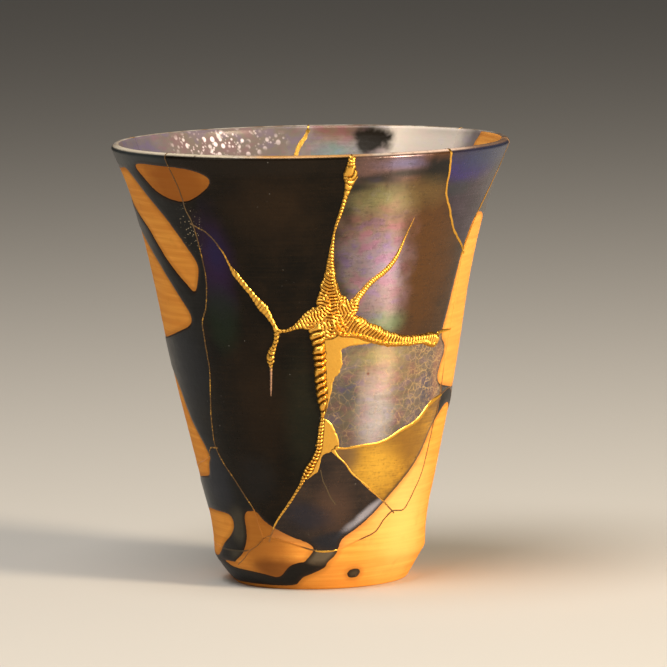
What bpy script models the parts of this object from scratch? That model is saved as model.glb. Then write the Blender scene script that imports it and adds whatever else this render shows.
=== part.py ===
"""A kintsugi cup: a hand-thrown tumbler, broken and put together again with gold lacquer.

The cup is turned once as a whole and cut along its cracks, so each sherd is a solid of its own with
the wall's true thickness. The lacquer is one branching solid: thin webs that fill the joints, two
filled losses, and the crowned gold beads that stand on the outside.

Places on the wall are given as (degrees, millimetres): degrees around the axis from the front (-Y),
positive towards +X, and the height above the foot.
"""
import bisect
import math

import bmesh
import bpy
from mathutils import Vector
from mathutils.bvhtree import BVHTree

MM = 0.001

# --- the turned cup ---------------------------------------------------------------------------

HEIGHT = 99.85
SEGMENTS = 36
WALL = 3.0
LIP_RADIUS = 1.1
LIP_STEPS = 3
FLOOR_TOP = 5.5
FLOOR_CORNER = 3.2
FOOT_RING = 4.0
FOOT_RECESS = 1.6
MERGE = 0.01            # corners of the turned cup nearer than this are one

# outer radius by height: a bevelled foot, a slowly opening wall and a flared rim
OUTER_PROFILE = [(0.0, 19.6), (6.6, 23.9), (10.5, 24.1), (16.0, 24.9), (22.7, 26.5), (34.5, 29.1),
                 (44.7, 31.3), (55.0, 33.3), (67.4, 35.5), (77.0, 37.6), (83.0, 39.2), (89.6, 41.3),
                 (94.4, 43.2), (99.85, 45.0)]
OUTER_ROWS = [6.6, 10.5, 20.0, 33.0, 48.0, 63.0, 76.0, 84.0, 90.0, 95.0]
INNER_ROWS = [92.0, 79.0, 62.0, 42.0, 22.0]

# the hand-thrown cup leans a little: how far it rises per millimetre of x, and how far it sways
LEAN = [(0.0, 0.0), (6.6, 0.020), (16.0, 0.0), (40.0, 0.0), (99.5, -0.006)]
SWAY = [(0.0, 0.0), (30.0, -0.1), (68.0, -0.4), (99.5, 0.0)]

# --- the joints and the lacquer -----------------------------------------------------------------

JOINT = 0.7             # width of the joint cut between two sherds
WEB = 0.4               # width of the lacquer web in it
WEB_SHORTER = 0.3       # how far a web stops short of the end of its joint
STEM = 0.2              # width of a bead's stem, inside the web
STEM_DEPTH = 1.0
BEAD_CLEARANCE = 0.12   # the first bead's underside over the wall
BEAD_LIFT = 0.045       # how much higher each further bead lies
BEAD_EDGE = 0.16        # thickness of a bead's edge
BEAD_SHOULDER = (0.55, 0.8)     # where its shoulder lies, as shares of half its width and its rise
BEAD_LEAST = 0.45       # a narrower bead is left off
FILL_GAP = 0.15         # lacquer of a filled loss to the sherds around it
CUT_IN = 6.0            # how deep a cutter reaches inwards from the outer face
CUT_OUT = 3.0
JOINT_STEP = 8.0        # spacing of the stations along a joint
BEAD_STEP = 3.9         # and along a bead
ABOVE_RIM = 102.0       # a joint that leaves through the rim ends at this height
MARK_REACH = 20.0       # how far outside the wall a sherd's mark is looked for from
FLAT_ANGLE = 1.6        # cut faces that turn less than this, in degrees, are joined
SHARP_ANGLE = 35.0      # edges that turn more than this, in degrees, are shaded sharp

# Joints that carry a gold bead: (degrees, height, bead width, bead crown height), with no bead
# where the width falls away
SEAMS = {
    "rim_crack": [(11.7, ABOVE_RIM, 0.0, 0.3), (11.6, 98.3, 1.8, 0.6), (11.5, 95.4, 3.2, 1.0),
                  (10.9, 91.6, 1.6, 0.6), (9.1, 86.3, 1.0, 0.5), (7.4, 82.1, 0.7, 0.4),
                  (6.6, 77.0, 1.4, 0.6), (6.3, 72.5, 2.6, 0.8), (6.2, 69.0, 4.4, 1.0),
                  (6.5, 65.5, 6.0, 1.1), (6.2, 61.6, 5.0, 1.0)],
    "left_arm": [(6.9, 63.4, 4.0, 0.9), (0.0, 62.8, 4.0, 0.8), (-3.5, 61.9, 2.8, 0.7),
                 (-7.7, 60.6, 1.0, 0.5), (-11.0, 60.0, 0.8, 0.4), (-14.2, 60.0, 0.9, 0.4)],
    "upper_left_crack": [(-12.6, 58.8, 0.9, 0.4), (-15.2, 62.3, 1.1, 0.5), (-18.2, 65.4, 1.8, 0.6),
                         (-22.7, 69.0, 1.4, 0.5), (-27.9, 73.3, 1.2, 0.4), (-31.3, 77.9, 0.6, 0.3),
                         (-36.3, 81.9, 0.0, 0.2), (-42.6, 83.9, 0.0, 0.2)],
    "right_arm": [(4.4, 62.5, 4.0, 1.0), (12.0, 60.9, 4.6, 0.9), (18.6, 59.9, 4.4, 0.9),
                  (25.0, 58.2, 3.9, 0.8), (34.0, 56.8, 2.7, 0.7), (44.0, 56.4, 2.0, 0.7),
                  (50.0, 56.1, 3.4, 0.8), (53.6, 56.2, 3.0, 0.7), (56.5, 57.2, 0.2, 0.3),
                  (66.4, 57.5, 0.0, 0.2)],
    "spine": [(4.8, 64.0, 4.2, 1.0), (2.0, 60.0, 3.6, 1.1), (2.0, 55.0, 2.8, 1.2),
              (2.3, 50.0, 2.8, 1.2), (2.6, 45.0, 2.6, 1.1), (2.9, 41.7, 1.6, 0.8),
              (2.4, 39.3, 1.0, 0.6), (1.1, 35.0, 1.0, 0.5), (-0.3, 31.5, 1.2, 0.6),
              (-3.6, 28.5, 2.0, 0.9), (-6.7, 26.2, 1.2, 0.6), (-9.5, 23.9, 0.8, 0.4),
              (-16.7, 19.2, 0.0, 0.2), (-23.9, 15.0, 0.0, 0.2), (-27.9, 11.4, 0.0, 0.2)],
}

# Cracks that run out inside a sherd, with a bead on the wall and no joint below
DANGLING = {
    "tail": [(-13.4, 61.2, 0.9, 0.4), (-14.4, 57.6, 1.0, 0.4), (-16.8, 54.4, 1.8, 0.6),
             (-17.2, 50.5, 0.7, 0.35), (-18.2, 45.4, 0.5, 0.3)],
    "upper_right_arm": [(6.0, 62.9, 1.8, 0.7), (13.5, 64.8, 1.5, 0.7), (18.2, 68.5, 1.4, 0.6),
                        (22.7, 71.3, 1.1, 0.5), (29.5, 75.0, 1.1, 0.4), (32.3, 80.0, 0.6, 0.35),
                        (34.5, 84.0, 0.5, 0.3)],
}

# Plain joints between the sherds, which a web fills: (degrees, height)
JOINTS = {
    "amber_top": [(6.0, 33.4), (12.8, 32.9), (22.2, 33.4), (31.1, 34.0), (38.9, 35.8),
                  (48.9, 37.7), (57.2, 41.3), (66.0, 42.6)],
    "amber_bottom": [(4.0, 33.2), (9.4, 31.0), (13.9, 28.5), (19.4, 25.6), (26.1, 22.7),
                     (34.7, 19.6), (42.5, 16.4)],
    "right_edge": [(65.8, 76.6), (66.2, 66.0), (65.0, 57.5), (64.2, 50.0), (65.1, 41.4)],
    "blue_left": [(43.2, ABOVE_RIM), (43.5, 98.9), (44.6, 95.6), (46.0, 90.0), (50.0, 85.6),
                  (54.6, 81.0), (61.7, 77.2), (67.0, 74.6)],
    "blue_right": [(64.4, 74.2), (68.4, 80.0), (71.7, 84.4), (77.9, 90.0), (84.0, 98.0),
                   (87.0, ABOVE_RIM)],
    "left_crack": [(-46.0, ABOVE_RIM), (-45.6, 97.5), (-44.0, 92.0), (-43.4, 87.5), (-41.5, 83.8),
                   (-40.4, 77.5), (-39.9, 72.5), (-42.0, 65.4), (-45.6, 60.5), (-45.7, 51.5),
                   (-48.0, 45.2), (-51.0, 38.8), (-52.4, 33.2), (-50.0, 30.0), (-43.5, 25.4),
                   (-38.3, 21.5), (-34.8, 18.6), (-33.2, 15.0), (-31.0, 11.4)],
    "left_branch": [(-50.6, 32.4), (-56.0, 32.2), (-60.0, 30.0), (-72.0, 28.0), (-86.0, 26.6),
                    (-102.4, 27.4)],
    "left_hidden": [(-112.0, ABOVE_RIM), (-111.0, 92.0), (-106.0, 78.0), (-103.0, 62.0),
                    (-106.0, 46.0), (-101.0, 30.0), (-98.0, 8.2)],
    "back_hidden": [(180.0, ABOVE_RIM), (181.0, 98.0), (185.0, 93.0), (188.0, 82.0), (184.0, 66.0),
                    (187.0, 50.0), (182.0, 34.0), (184.0, 15.4)],
    "right_hidden": [(128.0, ABOVE_RIM), (127.0, 92.0), (122.0, 78.0), (125.0, 62.0),
                     (119.0, 48.0), (118.0, 27.2)],
}

# The joint around the base runs right round, from the left of the front
BASE_JOINT = [(-30.0, 12.5), (-24.0, 12.2), (-14.0, 11.0), (-3.1, 9.6), (2.5, 9.2), (9.4, 9.5),
              (22.2, 11.5), (30.6, 12.9), (36.1, 15.8), (41.5, 17.4), (47.8, 17.1), (55.6, 21.5),
              (60.4, 26.1), (62.4, 33.0), (65.0, 42.4), (74.0, 43.6), (86.0, 40.5), (102.0, 34.0),
              (118.0, 28.5), (140.0, 23.0), (180.0, 16.8), (215.0, 13.6), (245.0, 11.0),
              (268.0, 9.6), (300.0, 8.9), (314.0, 9.0), (322.0, 10.0)]

# Two losses filled with lacquer and gilded flat
FILLS = {
    "fill_upper": [(2.6, 60.4), (6.8, 60.0), (10.0, 58.4), (17.3, 57.6), (24.0, 56.9),
                   (15.9, 56.3), (10.4, 55.4), (10.9, 52.6), (7.7, 49.2), (6.4, 46.0),
                   (4.6, 41.8), (2.4, 42.6), (1.8, 51.0)],
    "fill_lower": [(2.6, 39.9), (6.4, 38.8), (9.4, 35.0), (9.5, 33.2), (6.1, 32.3), (1.7, 31.0),
                   (0.4, 28.0), (-5.6, 25.8), (-3.4, 28.6), (0.0, 32.0)],
}

# Each sherd: a mark on its outer face, and its colour, roughness and metallic value
SHERDS = {
    "sherd_base": ((90.0, 20.0), (0.62, 0.36, 0.14), 0.85, 0.0),
    "sherd_front": ((-30.0, 45.0), (0.035, 0.022, 0.013), 0.25, 0.3),
    "sherd_upper_left": ((-20.0, 85.0), (0.035, 0.022, 0.013), 0.25, 0.3),
    "sherd_upper_right": ((30.0, 88.0), (0.040, 0.026, 0.016), 0.25, 0.3),
    "sherd_rim_blue": ((62.0, 92.0), (0.070, 0.060, 0.150), 0.30, 0.3),
    "sherd_crackled": ((30.0, 46.0), (0.160, 0.120, 0.110), 0.30, 0.2),
    "sherd_amber": ((35.0, 28.0), (0.330, 0.200, 0.040), 0.25, 0.2),
    "sherd_lower_centre": ((10.0, 20.0), (0.050, 0.035, 0.038), 0.25, 0.3),
    "sherd_left_side": ((-75.0, 60.0), (0.040, 0.030, 0.022), 0.35, 0.2),
    "sherd_lower_left": ((-65.0, 20.0), (0.035, 0.028, 0.022), 0.35, 0.2),
    "sherd_right_side": ((95.0, 60.0), (0.62, 0.36, 0.14), 0.80, 0.0),
    "sherd_back_right": ((150.0, 60.0), (0.035, 0.024, 0.016), 0.30, 0.3),
    "sherd_back_left": ((215.0, 60.0), (0.035, 0.024, 0.016), 0.30, 0.3),
}
GOLD = ((0.80, 0.46, 0.10), 0.30, 1.0)


def smooth_value(points, at, column=1):
    """Read a column of rising points as a smooth curve, straight on past both ends."""
    keys = [point[0] for point in points]
    index = min(max(bisect.bisect_right(keys, at) - 1, 0), len(points) - 2)
    left, right = points[index], points[index + 1]
    span = right[0] - left[0]
    part = (at - left[0]) / span
    rise = (right[column] - left[column]) / span
    if not 0.0 <= part <= 1.0:
        end = left if part < 0.0 else right
        return end[column] + rise * (at - end[0])

    def slope(middle):
        if not 0 < middle < len(points) - 1:
            return rise
        before, after = points[middle - 1], points[middle + 1]
        here = points[middle]
        one = (here[column] - before[column]) / (here[0] - before[0])
        two = (after[column] - here[column]) / (after[0] - here[0])
        return 0.0 if one * two <= 0.0 else 2.0 * one * two / (one + two)

    a, b = slope(index) * span, slope(index + 1) * span
    square, cube = part * part, part * part * part
    return (left[column] * (2 * cube - 3 * square + 1) + a * (cube - 2 * square + part)
            + right[column] * (3 * square - 2 * cube) + b * (cube - square))


def outer_radius(height):
    """The outer radius at a height, with the foot's bevel as a straight cone."""
    bevel_top = OUTER_PROFILE[1]
    if height <= bevel_top[0]:
        share = height / bevel_top[0]
        return OUTER_PROFILE[0][1] + share * (bevel_top[1] - OUTER_PROFILE[0][1])
    return smooth_value(OUTER_PROFILE[1:], height)


def on_wall(degrees, height, depth=0.0):
    """A point on the outer face, or so many millimetres outside it, in metres."""
    radius = (outer_radius(height) + depth) * MM
    turn = math.radians(degrees)
    return Vector((radius * math.sin(turn), -radius * math.cos(turn), height * MM))


def cup_section():
    """The cup's closed section as (radius, height), from the underside's middle round to the floor."""
    lip_centre = HEIGHT - LIP_RADIUS
    lip_middle = outer_radius(HEIGHT) - LIP_RADIUS
    foot_in = OUTER_PROFILE[0][1] - FOOT_RING
    section = [(0.0, FOOT_RECESS), (foot_in - FOOT_RECESS, FOOT_RECESS), (foot_in, 0.0),
               (OUTER_PROFILE[0][1], 0.0)]
    section += [(outer_radius(height), height) for height in OUTER_ROWS]
    for step in range(LIP_STEPS + 1):
        turn = math.pi * step / LIP_STEPS
        section.append((lip_middle + LIP_RADIUS * math.cos(turn),
                        lip_centre + LIP_RADIUS * math.sin(turn)))
    section += [(outer_radius(height) - WALL, height) for height in INNER_ROWS]
    corner_top = FLOOR_TOP + FLOOR_CORNER
    corner_radius = outer_radius(corner_top) - WALL
    for step in range(3):
        turn = math.pi / 2 * step / 2
        section.append((corner_radius - FLOOR_CORNER * (1 - math.cos(turn)),
                        corner_top - FLOOR_CORNER * math.sin(turn)))
    section.append((0.0, FLOOR_TOP))
    return section


def new_object(name, mesh_data):
    """Make an object of a bmesh and link it to the scene."""
    mesh = bpy.data.meshes.new(name)
    mesh_data.to_mesh(mesh)
    mesh_data.free()
    thing = bpy.data.objects.new(name, mesh)
    bpy.context.scene.collection.objects.link(thing)
    return thing


def turned_cup(name):
    """Spin the section round the axis into the whole cup."""
    shape = bmesh.new()
    ring = [shape.verts.new((radius * MM, 0.0, height * MM)) for radius, height in cup_section()]
    edges = [shape.edges.new(pair) for pair in zip(ring, ring[1:])]
    bmesh.ops.spin(shape, geom=ring + edges, axis=(0, 0, 1), cent=(0, 0, 0), steps=SEGMENTS,
                   angle=math.tau, use_merge=True)
    bmesh.ops.remove_doubles(shape, verts=shape.verts, dist=MERGE * MM)
    bmesh.ops.recalc_face_normals(shape, faces=shape.faces)
    return new_object(name, shape)


def stations(points, spacing, closed=False):
    """Run a smooth curve through waypoints of a seam and space stations along it."""
    columns = len(points[0])
    if closed:
        last = points[0]
        points = points + [(last[0] + 360.0, *last[1:])]
    along = [0.0]
    for one, two in zip(points, points[1:]):
        arc = math.radians(two[0] - one[0]) * outer_radius((one[1] + two[1]) / 2)
        along.append(along[-1] + math.hypot(arc, two[1] - one[1]))
    keyed = [(place, *point) for place, point in zip(along, points)]
    count = max(2, round(along[-1] / spacing))
    places = [along[-1] * index / count for index in range(count + (0 if closed else 1))]
    return [tuple(smooth_value(keyed, place, column + 1) for column in range(columns))
            for place in places]


def sweep(name, line, section_at, closed=False, stemmed=False):
    """Sweep a section along stations on the wall.

    section_at gives the section of a station as (across, depth) pairs in millimetres. A stemmed
    one starts with the four corners of its stem less the last, and ends with that.
    """
    shape = bmesh.new()
    rings = []
    count = len(line)
    for index, station in enumerate(line):
        before = line[(index - 1) % count] if closed or index else station
        after = line[(index + 1) % count] if closed or index < count - 1 else station
        radius = outer_radius(station[1])
        turned = (after[0] - before[0] + 180.0) % 360.0 - 180.0
        run = Vector((math.radians(turned) * radius, after[1] - before[1])).normalized()
        ring = []
        for across, depth in section_at(station):
            degrees = station[0] + math.degrees(across * run.y / radius)
            ring.append(shape.verts.new(on_wall(degrees, station[1] - across * run.x, depth)))
        rings.append(ring)
    pairs = list(zip(rings, rings[1:]))
    if closed:
        pairs.append((rings[-1], rings[0]))
    for one, two in pairs:
        for index in range(len(one)):
            follow = (index + 1) % len(one)
            shape.faces.new((one[index], one[follow], two[follow], two[index]))
    for ring in ([] if closed else (rings[0], rings[-1])):
        if stemmed:
            shape.faces.new((ring[0], ring[1], ring[2], ring[-1]))
            shape.faces.new(ring[2:])
        else:
            shape.faces.new(ring)
    bmesh.ops.triangulate(shape, faces=shape.faces)
    bmesh.ops.recalc_face_normals(shape, faces=shape.faces)
    return new_object(name, shape)


def slab_section(width):
    """A straight-sided section that passes right through the wall."""
    half = width / 2
    return lambda station: [(-half, -CUT_IN), (half, -CUT_IN), (half, CUT_OUT), (-half, CUT_OUT)]


def bead_section(under, stemmed):
    """A crowned bead with its underside a little over the wall, on a narrow stem or on none."""
    edge = under + BEAD_EDGE
    stem = STEM / 2

    def section_at(station):
        half = max(station[2], 2 * STEM) / 2
        crown = max(station[3], edge + BEAD_EDGE / 2)
        across = BEAD_SHOULDER[0] * half
        shoulder = edge + BEAD_SHOULDER[1] * (crown - edge)
        cap = [(half, under), (half, edge), (across, shoulder), (0.0, crown),
               (-across, shoulder), (-half, edge), (-half, under)]
        if not stemmed:
            return cap
        return [(-stem, -STEM_DEPTH), (stem, -STEM_DEPTH), (stem, under), *cap, (-stem, under)]

    return section_at


def inset_outline(outline, gap):
    """Move each corner of an outline inwards by about a gap."""
    flat = [Vector((math.radians(degrees) * outer_radius(height), height))
            for degrees, height in outline]
    area = sum(one.x * two.y - two.x * one.y for one, two in zip(flat, flat[1:] + flat[:1]))
    moved = []
    for index, here in enumerate(flat):
        before = (here - flat[index - 1]).normalized()
        after = (flat[(index + 1) % len(flat)] - here).normalized()
        inwards = Vector((-(before.y + after.y), before.x + after.x)).normalized()
        spot = here + inwards * math.copysign(gap, area)
        moved.append((math.degrees(spot.x / outer_radius(spot.y)), spot.y))
    return moved


def prism(name, outline):
    """A block with an outline on the wall, passing right through it."""
    shape = bmesh.new()
    inner = [shape.verts.new(on_wall(degrees, height, -CUT_IN)) for degrees, height in outline]
    outer = [shape.verts.new(on_wall(degrees, height, CUT_OUT)) for degrees, height in outline]
    count = len(outline)
    for index in range(count):
        follow = (index + 1) % count
        shape.faces.new((inner[index], inner[follow], outer[follow], outer[index]))
    shape.faces.new(inner[::-1])
    shape.faces.new(outer)
    bmesh.ops.triangulate(shape, faces=shape.faces)
    bmesh.ops.recalc_face_normals(shape, faces=shape.faces)
    return new_object(name, shape)


def combine(target, tool, operation, solver="EXACT"):
    """Apply a Boolean of a tool to a target and remove the tool."""
    change = target.modifiers.new(operation.lower(), "BOOLEAN")
    change.operation = operation
    change.solver = solver
    change.object = tool
    result = bpy.data.meshes.new_from_object(
        target.evaluated_get(bpy.context.evaluated_depsgraph_get()))
    target.modifiers.clear()
    target.data = result
    bpy.data.objects.remove(tool)
    return target


def drawn_in(line, length, spacing):
    """A line of stations with both ends drawn in by a length, its stations so far apart."""
    share = length / spacing
    first = tuple(a + (b - a) * share for a, b in zip(line[0], line[1]))
    last = tuple(a + (b - a) * share for a, b in zip(line[-1], line[-2]))
    return [first, *line[1:-1], last]


def joint_slabs(width, shorter=0.0):
    """One slab along each joint between sherds."""
    section = slab_section(width)
    lines = {name: drawn_in(stations(points, BEAD_STEP), shorter, BEAD_STEP)
             for name, points in SEAMS.items()}
    lines.update({name: drawn_in(stations(points, JOINT_STEP), shorter, JOINT_STEP)
                  for name, points in JOINTS.items()})
    slabs = [sweep("joint_" + name, line, section) for name, line in lines.items()]
    slabs.append(sweep("joint_base", stations(BASE_JOINT, JOINT_STEP, closed=True), section,
                       closed=True))
    return slabs


def beads():
    """The gold beads: on the dangling cracks, and along the seams wherever they are wide enough."""
    lines = {name: stations(points, BEAD_STEP) for name, points in DANGLING.items()}
    lines.update({name: [station for station in stations(points, BEAD_STEP)
                         if station[2] > BEAD_LEAST and station[1] < HEIGHT - LIP_RADIUS]
                  for name, points in SEAMS.items()})
    made = []
    for order, (name, line) in enumerate(lines.items()):
        stemmed = name in SEAMS
        section = bead_section(BEAD_CLEARANCE + order * BEAD_LIFT, stemmed)
        made.append(sweep("bead_" + name, line, section, stemmed=stemmed))
    return made


def islands(thing):
    """Split an object's mesh into a bmesh for each loose part."""
    whole = bmesh.new()
    whole.from_mesh(thing.data)
    left = set(whole.verts)
    parts = []
    while left:
        group = [left.pop()]
        for vert in group:
            for edge in vert.link_edges:
                other = edge.other_vert(vert)
                if other in left:
                    left.discard(other)
                    group.append(other)
        keep = set(group)
        part = whole.copy()
        part.verts.ensure_lookup_table()
        whole.verts.index_update()
        indices = {vert.index for vert in keep}
        bmesh.ops.delete(part, geom=[vert for vert in part.verts if vert.index not in indices],
                         context="VERTS")
        parts.append(part)
    whole.free()
    return parts


def under_mark(part, degrees, height):
    """Whether a line from outside to the axis meets this part at a mark, and how far out."""
    start = on_wall(degrees, height, MARK_REACH)
    towards = Vector((-start.x, -start.y, 0.0)).normalized()
    hit = BVHTree.FromBMesh(part).ray_cast(start, towards, outer_radius(height) * MM)
    return hit[3]


def make_sherds():
    """Cut the turned cup along its cracks and name each sherd by its mark."""
    cup = turned_cup("cup")
    for slab in joint_slabs(JOINT):
        combine(cup, slab, "DIFFERENCE")
    for name, outline in FILLS.items():
        combine(cup, prism(name, outline), "DIFFERENCE")
    parts = islands(cup)
    bpy.data.objects.remove(cup)
    sherds = []
    for name, (mark, colour, roughness, metallic) in SHERDS.items():
        hits = [(under_mark(part, *mark), index) for index, part in enumerate(parts)]
        near = min(hit for hit in hits if hit[0] is not None)
        part = parts.pop(near[1])
        sherd = new_object(name, part)
        join_flat_faces(sherd)
        sherd.data.materials.append(finish(name + "_glaze", colour, roughness, metallic))
        sherds.append(sherd)
    return sherds


def make_lacquer():
    """Fill the joints and losses with lacquer and lay the gold beads along them."""
    web, *others = joint_slabs(WEB, shorter=WEB_SHORTER)
    for slab in others:
        combine(web, slab, "UNION")
    for name, outline in FILLS.items():
        combine(web, prism(name, inset_outline(outline, FILL_GAP)), "UNION")
    lacquer = combine(turned_cup("lacquer_seams"), web, "INTERSECT")
    join_flat_faces(lacquer)
    for bead in beads():
        combine(lacquer, bead, "UNION", "MANIFOLD")
    lacquer.data.materials.clear()
    lacquer.data.materials.append(finish("gold_lacquer", *GOLD))
    return lacquer


def finish(name, colour, roughness, metallic):
    """A plain Principled material."""
    material = bpy.data.materials.new(name)
    material.use_nodes = True
    shader = material.node_tree.nodes["Principled BSDF"]
    shader.inputs["Base Color"].default_value = (*colour, 1.0)
    shader.inputs["Roughness"].default_value = roughness
    shader.inputs["Metallic"].default_value = metallic
    return material


def join_flat_faces(thing):
    """Join the nearly flat faces that the cuts have split, and make triangles again."""
    shape = bmesh.new()
    shape.from_mesh(thing.data)
    bmesh.ops.dissolve_limit(shape, verts=shape.verts, edges=shape.edges,
                             angle_limit=math.radians(FLAT_ANGLE))
    bmesh.ops.triangulate(shape, faces=shape.faces)
    shape.to_mesh(thing.data)
    shape.free()


def hand_thrown(thing):
    """Lean and sway the wall as the hand-thrown cup does, leaving the foot flat."""
    for vert in thing.data.vertices:
        height = vert.co.z / MM
        vert.co.z += vert.co.x * smooth_value(LEAN, height)
        vert.co.x += smooth_value(SWAY, height) * MM
    thing.data.shade_smooth()
    thing.data.set_sharp_from_angle(angle=math.radians(SHARP_ANGLE))


def main():
    """Clear the scene and build the cup."""
    for thing in list(bpy.data.objects):
        bpy.data.objects.remove(thing)
    for thing in [*make_sherds(), make_lacquer()]:
        hand_thrown(thing)


main()
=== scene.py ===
"""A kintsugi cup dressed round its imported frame.

The cup is turned again at full fineness, cut along its cracks into the same sherds as the solids,
and each sherd is glazed. The gold that mends it is a fine relief laid over the joints. Places on
the wall are given as a turn in degrees from the front (-Y), positive towards +X, and a height in
millimetres above the foot.
"""
from __future__ import annotations

import logging
import math
from contextlib import contextmanager
from dataclasses import dataclass, field
from enum import Enum
from typing import Any, Callable, Iterable, Iterator, Sequence

import bpy
import numpy as np
from mathutils import Matrix, Vector

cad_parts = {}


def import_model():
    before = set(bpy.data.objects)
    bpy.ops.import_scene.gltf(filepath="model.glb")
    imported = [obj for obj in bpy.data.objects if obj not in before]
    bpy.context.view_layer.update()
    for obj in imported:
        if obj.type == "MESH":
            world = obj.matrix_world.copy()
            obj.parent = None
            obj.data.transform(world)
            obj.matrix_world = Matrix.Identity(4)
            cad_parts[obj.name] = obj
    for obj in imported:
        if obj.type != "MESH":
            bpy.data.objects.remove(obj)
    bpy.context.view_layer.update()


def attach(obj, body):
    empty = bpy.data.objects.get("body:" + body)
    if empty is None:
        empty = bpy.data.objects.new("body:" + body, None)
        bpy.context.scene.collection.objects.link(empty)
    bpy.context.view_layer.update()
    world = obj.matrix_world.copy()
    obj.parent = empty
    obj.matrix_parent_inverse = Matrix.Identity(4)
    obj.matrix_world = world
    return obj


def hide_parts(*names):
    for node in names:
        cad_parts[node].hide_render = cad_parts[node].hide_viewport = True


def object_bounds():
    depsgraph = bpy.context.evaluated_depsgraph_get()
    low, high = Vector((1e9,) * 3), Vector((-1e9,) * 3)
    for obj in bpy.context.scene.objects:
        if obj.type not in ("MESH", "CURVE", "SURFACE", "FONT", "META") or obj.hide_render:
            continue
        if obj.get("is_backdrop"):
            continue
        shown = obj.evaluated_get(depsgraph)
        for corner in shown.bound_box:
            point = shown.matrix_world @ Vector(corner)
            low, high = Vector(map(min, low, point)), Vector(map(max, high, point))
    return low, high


LOG = logging.getLogger("kintsugi_cup")
MM = 0.001
BODY = "root"

Array = np.ndarray
Piece = bpy.types.Object
Points = Sequence[Sequence[float]]
Colour = tuple[float, float, float]
# How many places are measured at once, to spare memory
CHUNK = 4000


def smooth_curve(points: Points, column: int = 1) -> Callable[[Array], Array]:
    """Make a smooth function of rising points that never overshoots them.

    Args:
        points: rows that rise in their first column.
        column: the column that is read.

    Returns:
        A function that gives the value at an array of places.
    """
    keys = np.array([row[0] for row in points], float)
    values = np.array([row[column] for row in points], float)
    spans = np.diff(keys)
    rises = np.diff(values) / spans
    slopes = np.concatenate([rises[:1], np.zeros(len(keys) - 2), rises[-1:]])
    same = rises[:-1] * rises[1:] > 0
    together = np.where(same, rises[:-1] + rises[1:], 1.0)
    slopes[1:-1] = np.where(same, 2 * rises[:-1] * rises[1:] / together, 0.0)

    def read(at: Array) -> Array:
        """Give the curve's value at each place."""
        at = np.asarray(at, float)
        left = np.clip(np.searchsorted(keys, at, side="right") - 1, 0, len(keys) - 2)
        span = spans[left]
        part = np.clip((at - keys[left]) / span, 0.0, 1.0)
        beyond = at - np.clip(at, keys[0], keys[-1])
        square, cube = part ** 2, part ** 3
        return (values[left] * (2 * cube - 3 * square + 1)
                + slopes[left] * span * (cube - 2 * square + part)
                + values[left + 1] * (3 * square - 2 * cube)
                + slopes[left + 1] * span * (cube - square)
                + np.where(beyond < 0, slopes[0], slopes[-1]) * beyond)

    return read


def smooth_step(low: float, high: float, value: Array) -> Array:
    """Rise smoothly from 0 at low to 1 at high."""
    part = np.clip((value - low) / (high - low), 0.0, 1.0)
    return part * part * (3 - 2 * part)


def faded(value: Array, span: tuple[float, float, float, float], at: Array) -> Array:
    """Let a value rise from nothing over a span's first two places and fall over its last two."""
    return value * smooth_step(span[0], span[1], at) * smooth_step(span[3], span[2], at)


def between(corners: Sequence[Array], across: Array, up: Array) -> Array:
    """Blend four corners of a lattice's square, lower pair first."""
    low, high = (left * (1 - across) + right * across
                 for left, right in (corners[:2], corners[2:]))
    return low * (1 - up) + high * up


class Grain:
    """Smooth random relief on a plane, the same on every run."""

    size: int = 64

    def __init__(self, seed: int) -> None:
        """Draw a square lattice of random values that repeats."""
        self.lattice = np.random.default_rng(seed).uniform(-1.0, 1.0, (self.size, self.size))

    def at(self, across: Array, up: Array, pitch: float) -> Array:
        """Read the relief at places in millimetres, with lattice points a pitch apart."""
        u, v = np.asarray(across) / pitch, np.asarray(up) / pitch
        column, row = np.floor(u).astype(int), np.floor(v).astype(int)
        s, t = u - column, v - row
        s, t = s * s * (3 - 2 * s), t * t * (3 - 2 * t)
        corners = [self.lattice[(row + rise) % self.size, (column + on) % self.size]
                   for rise in (0, 1) for on in (0, 1)]
        return between(corners, s, t)


# --- the form ---


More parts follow.
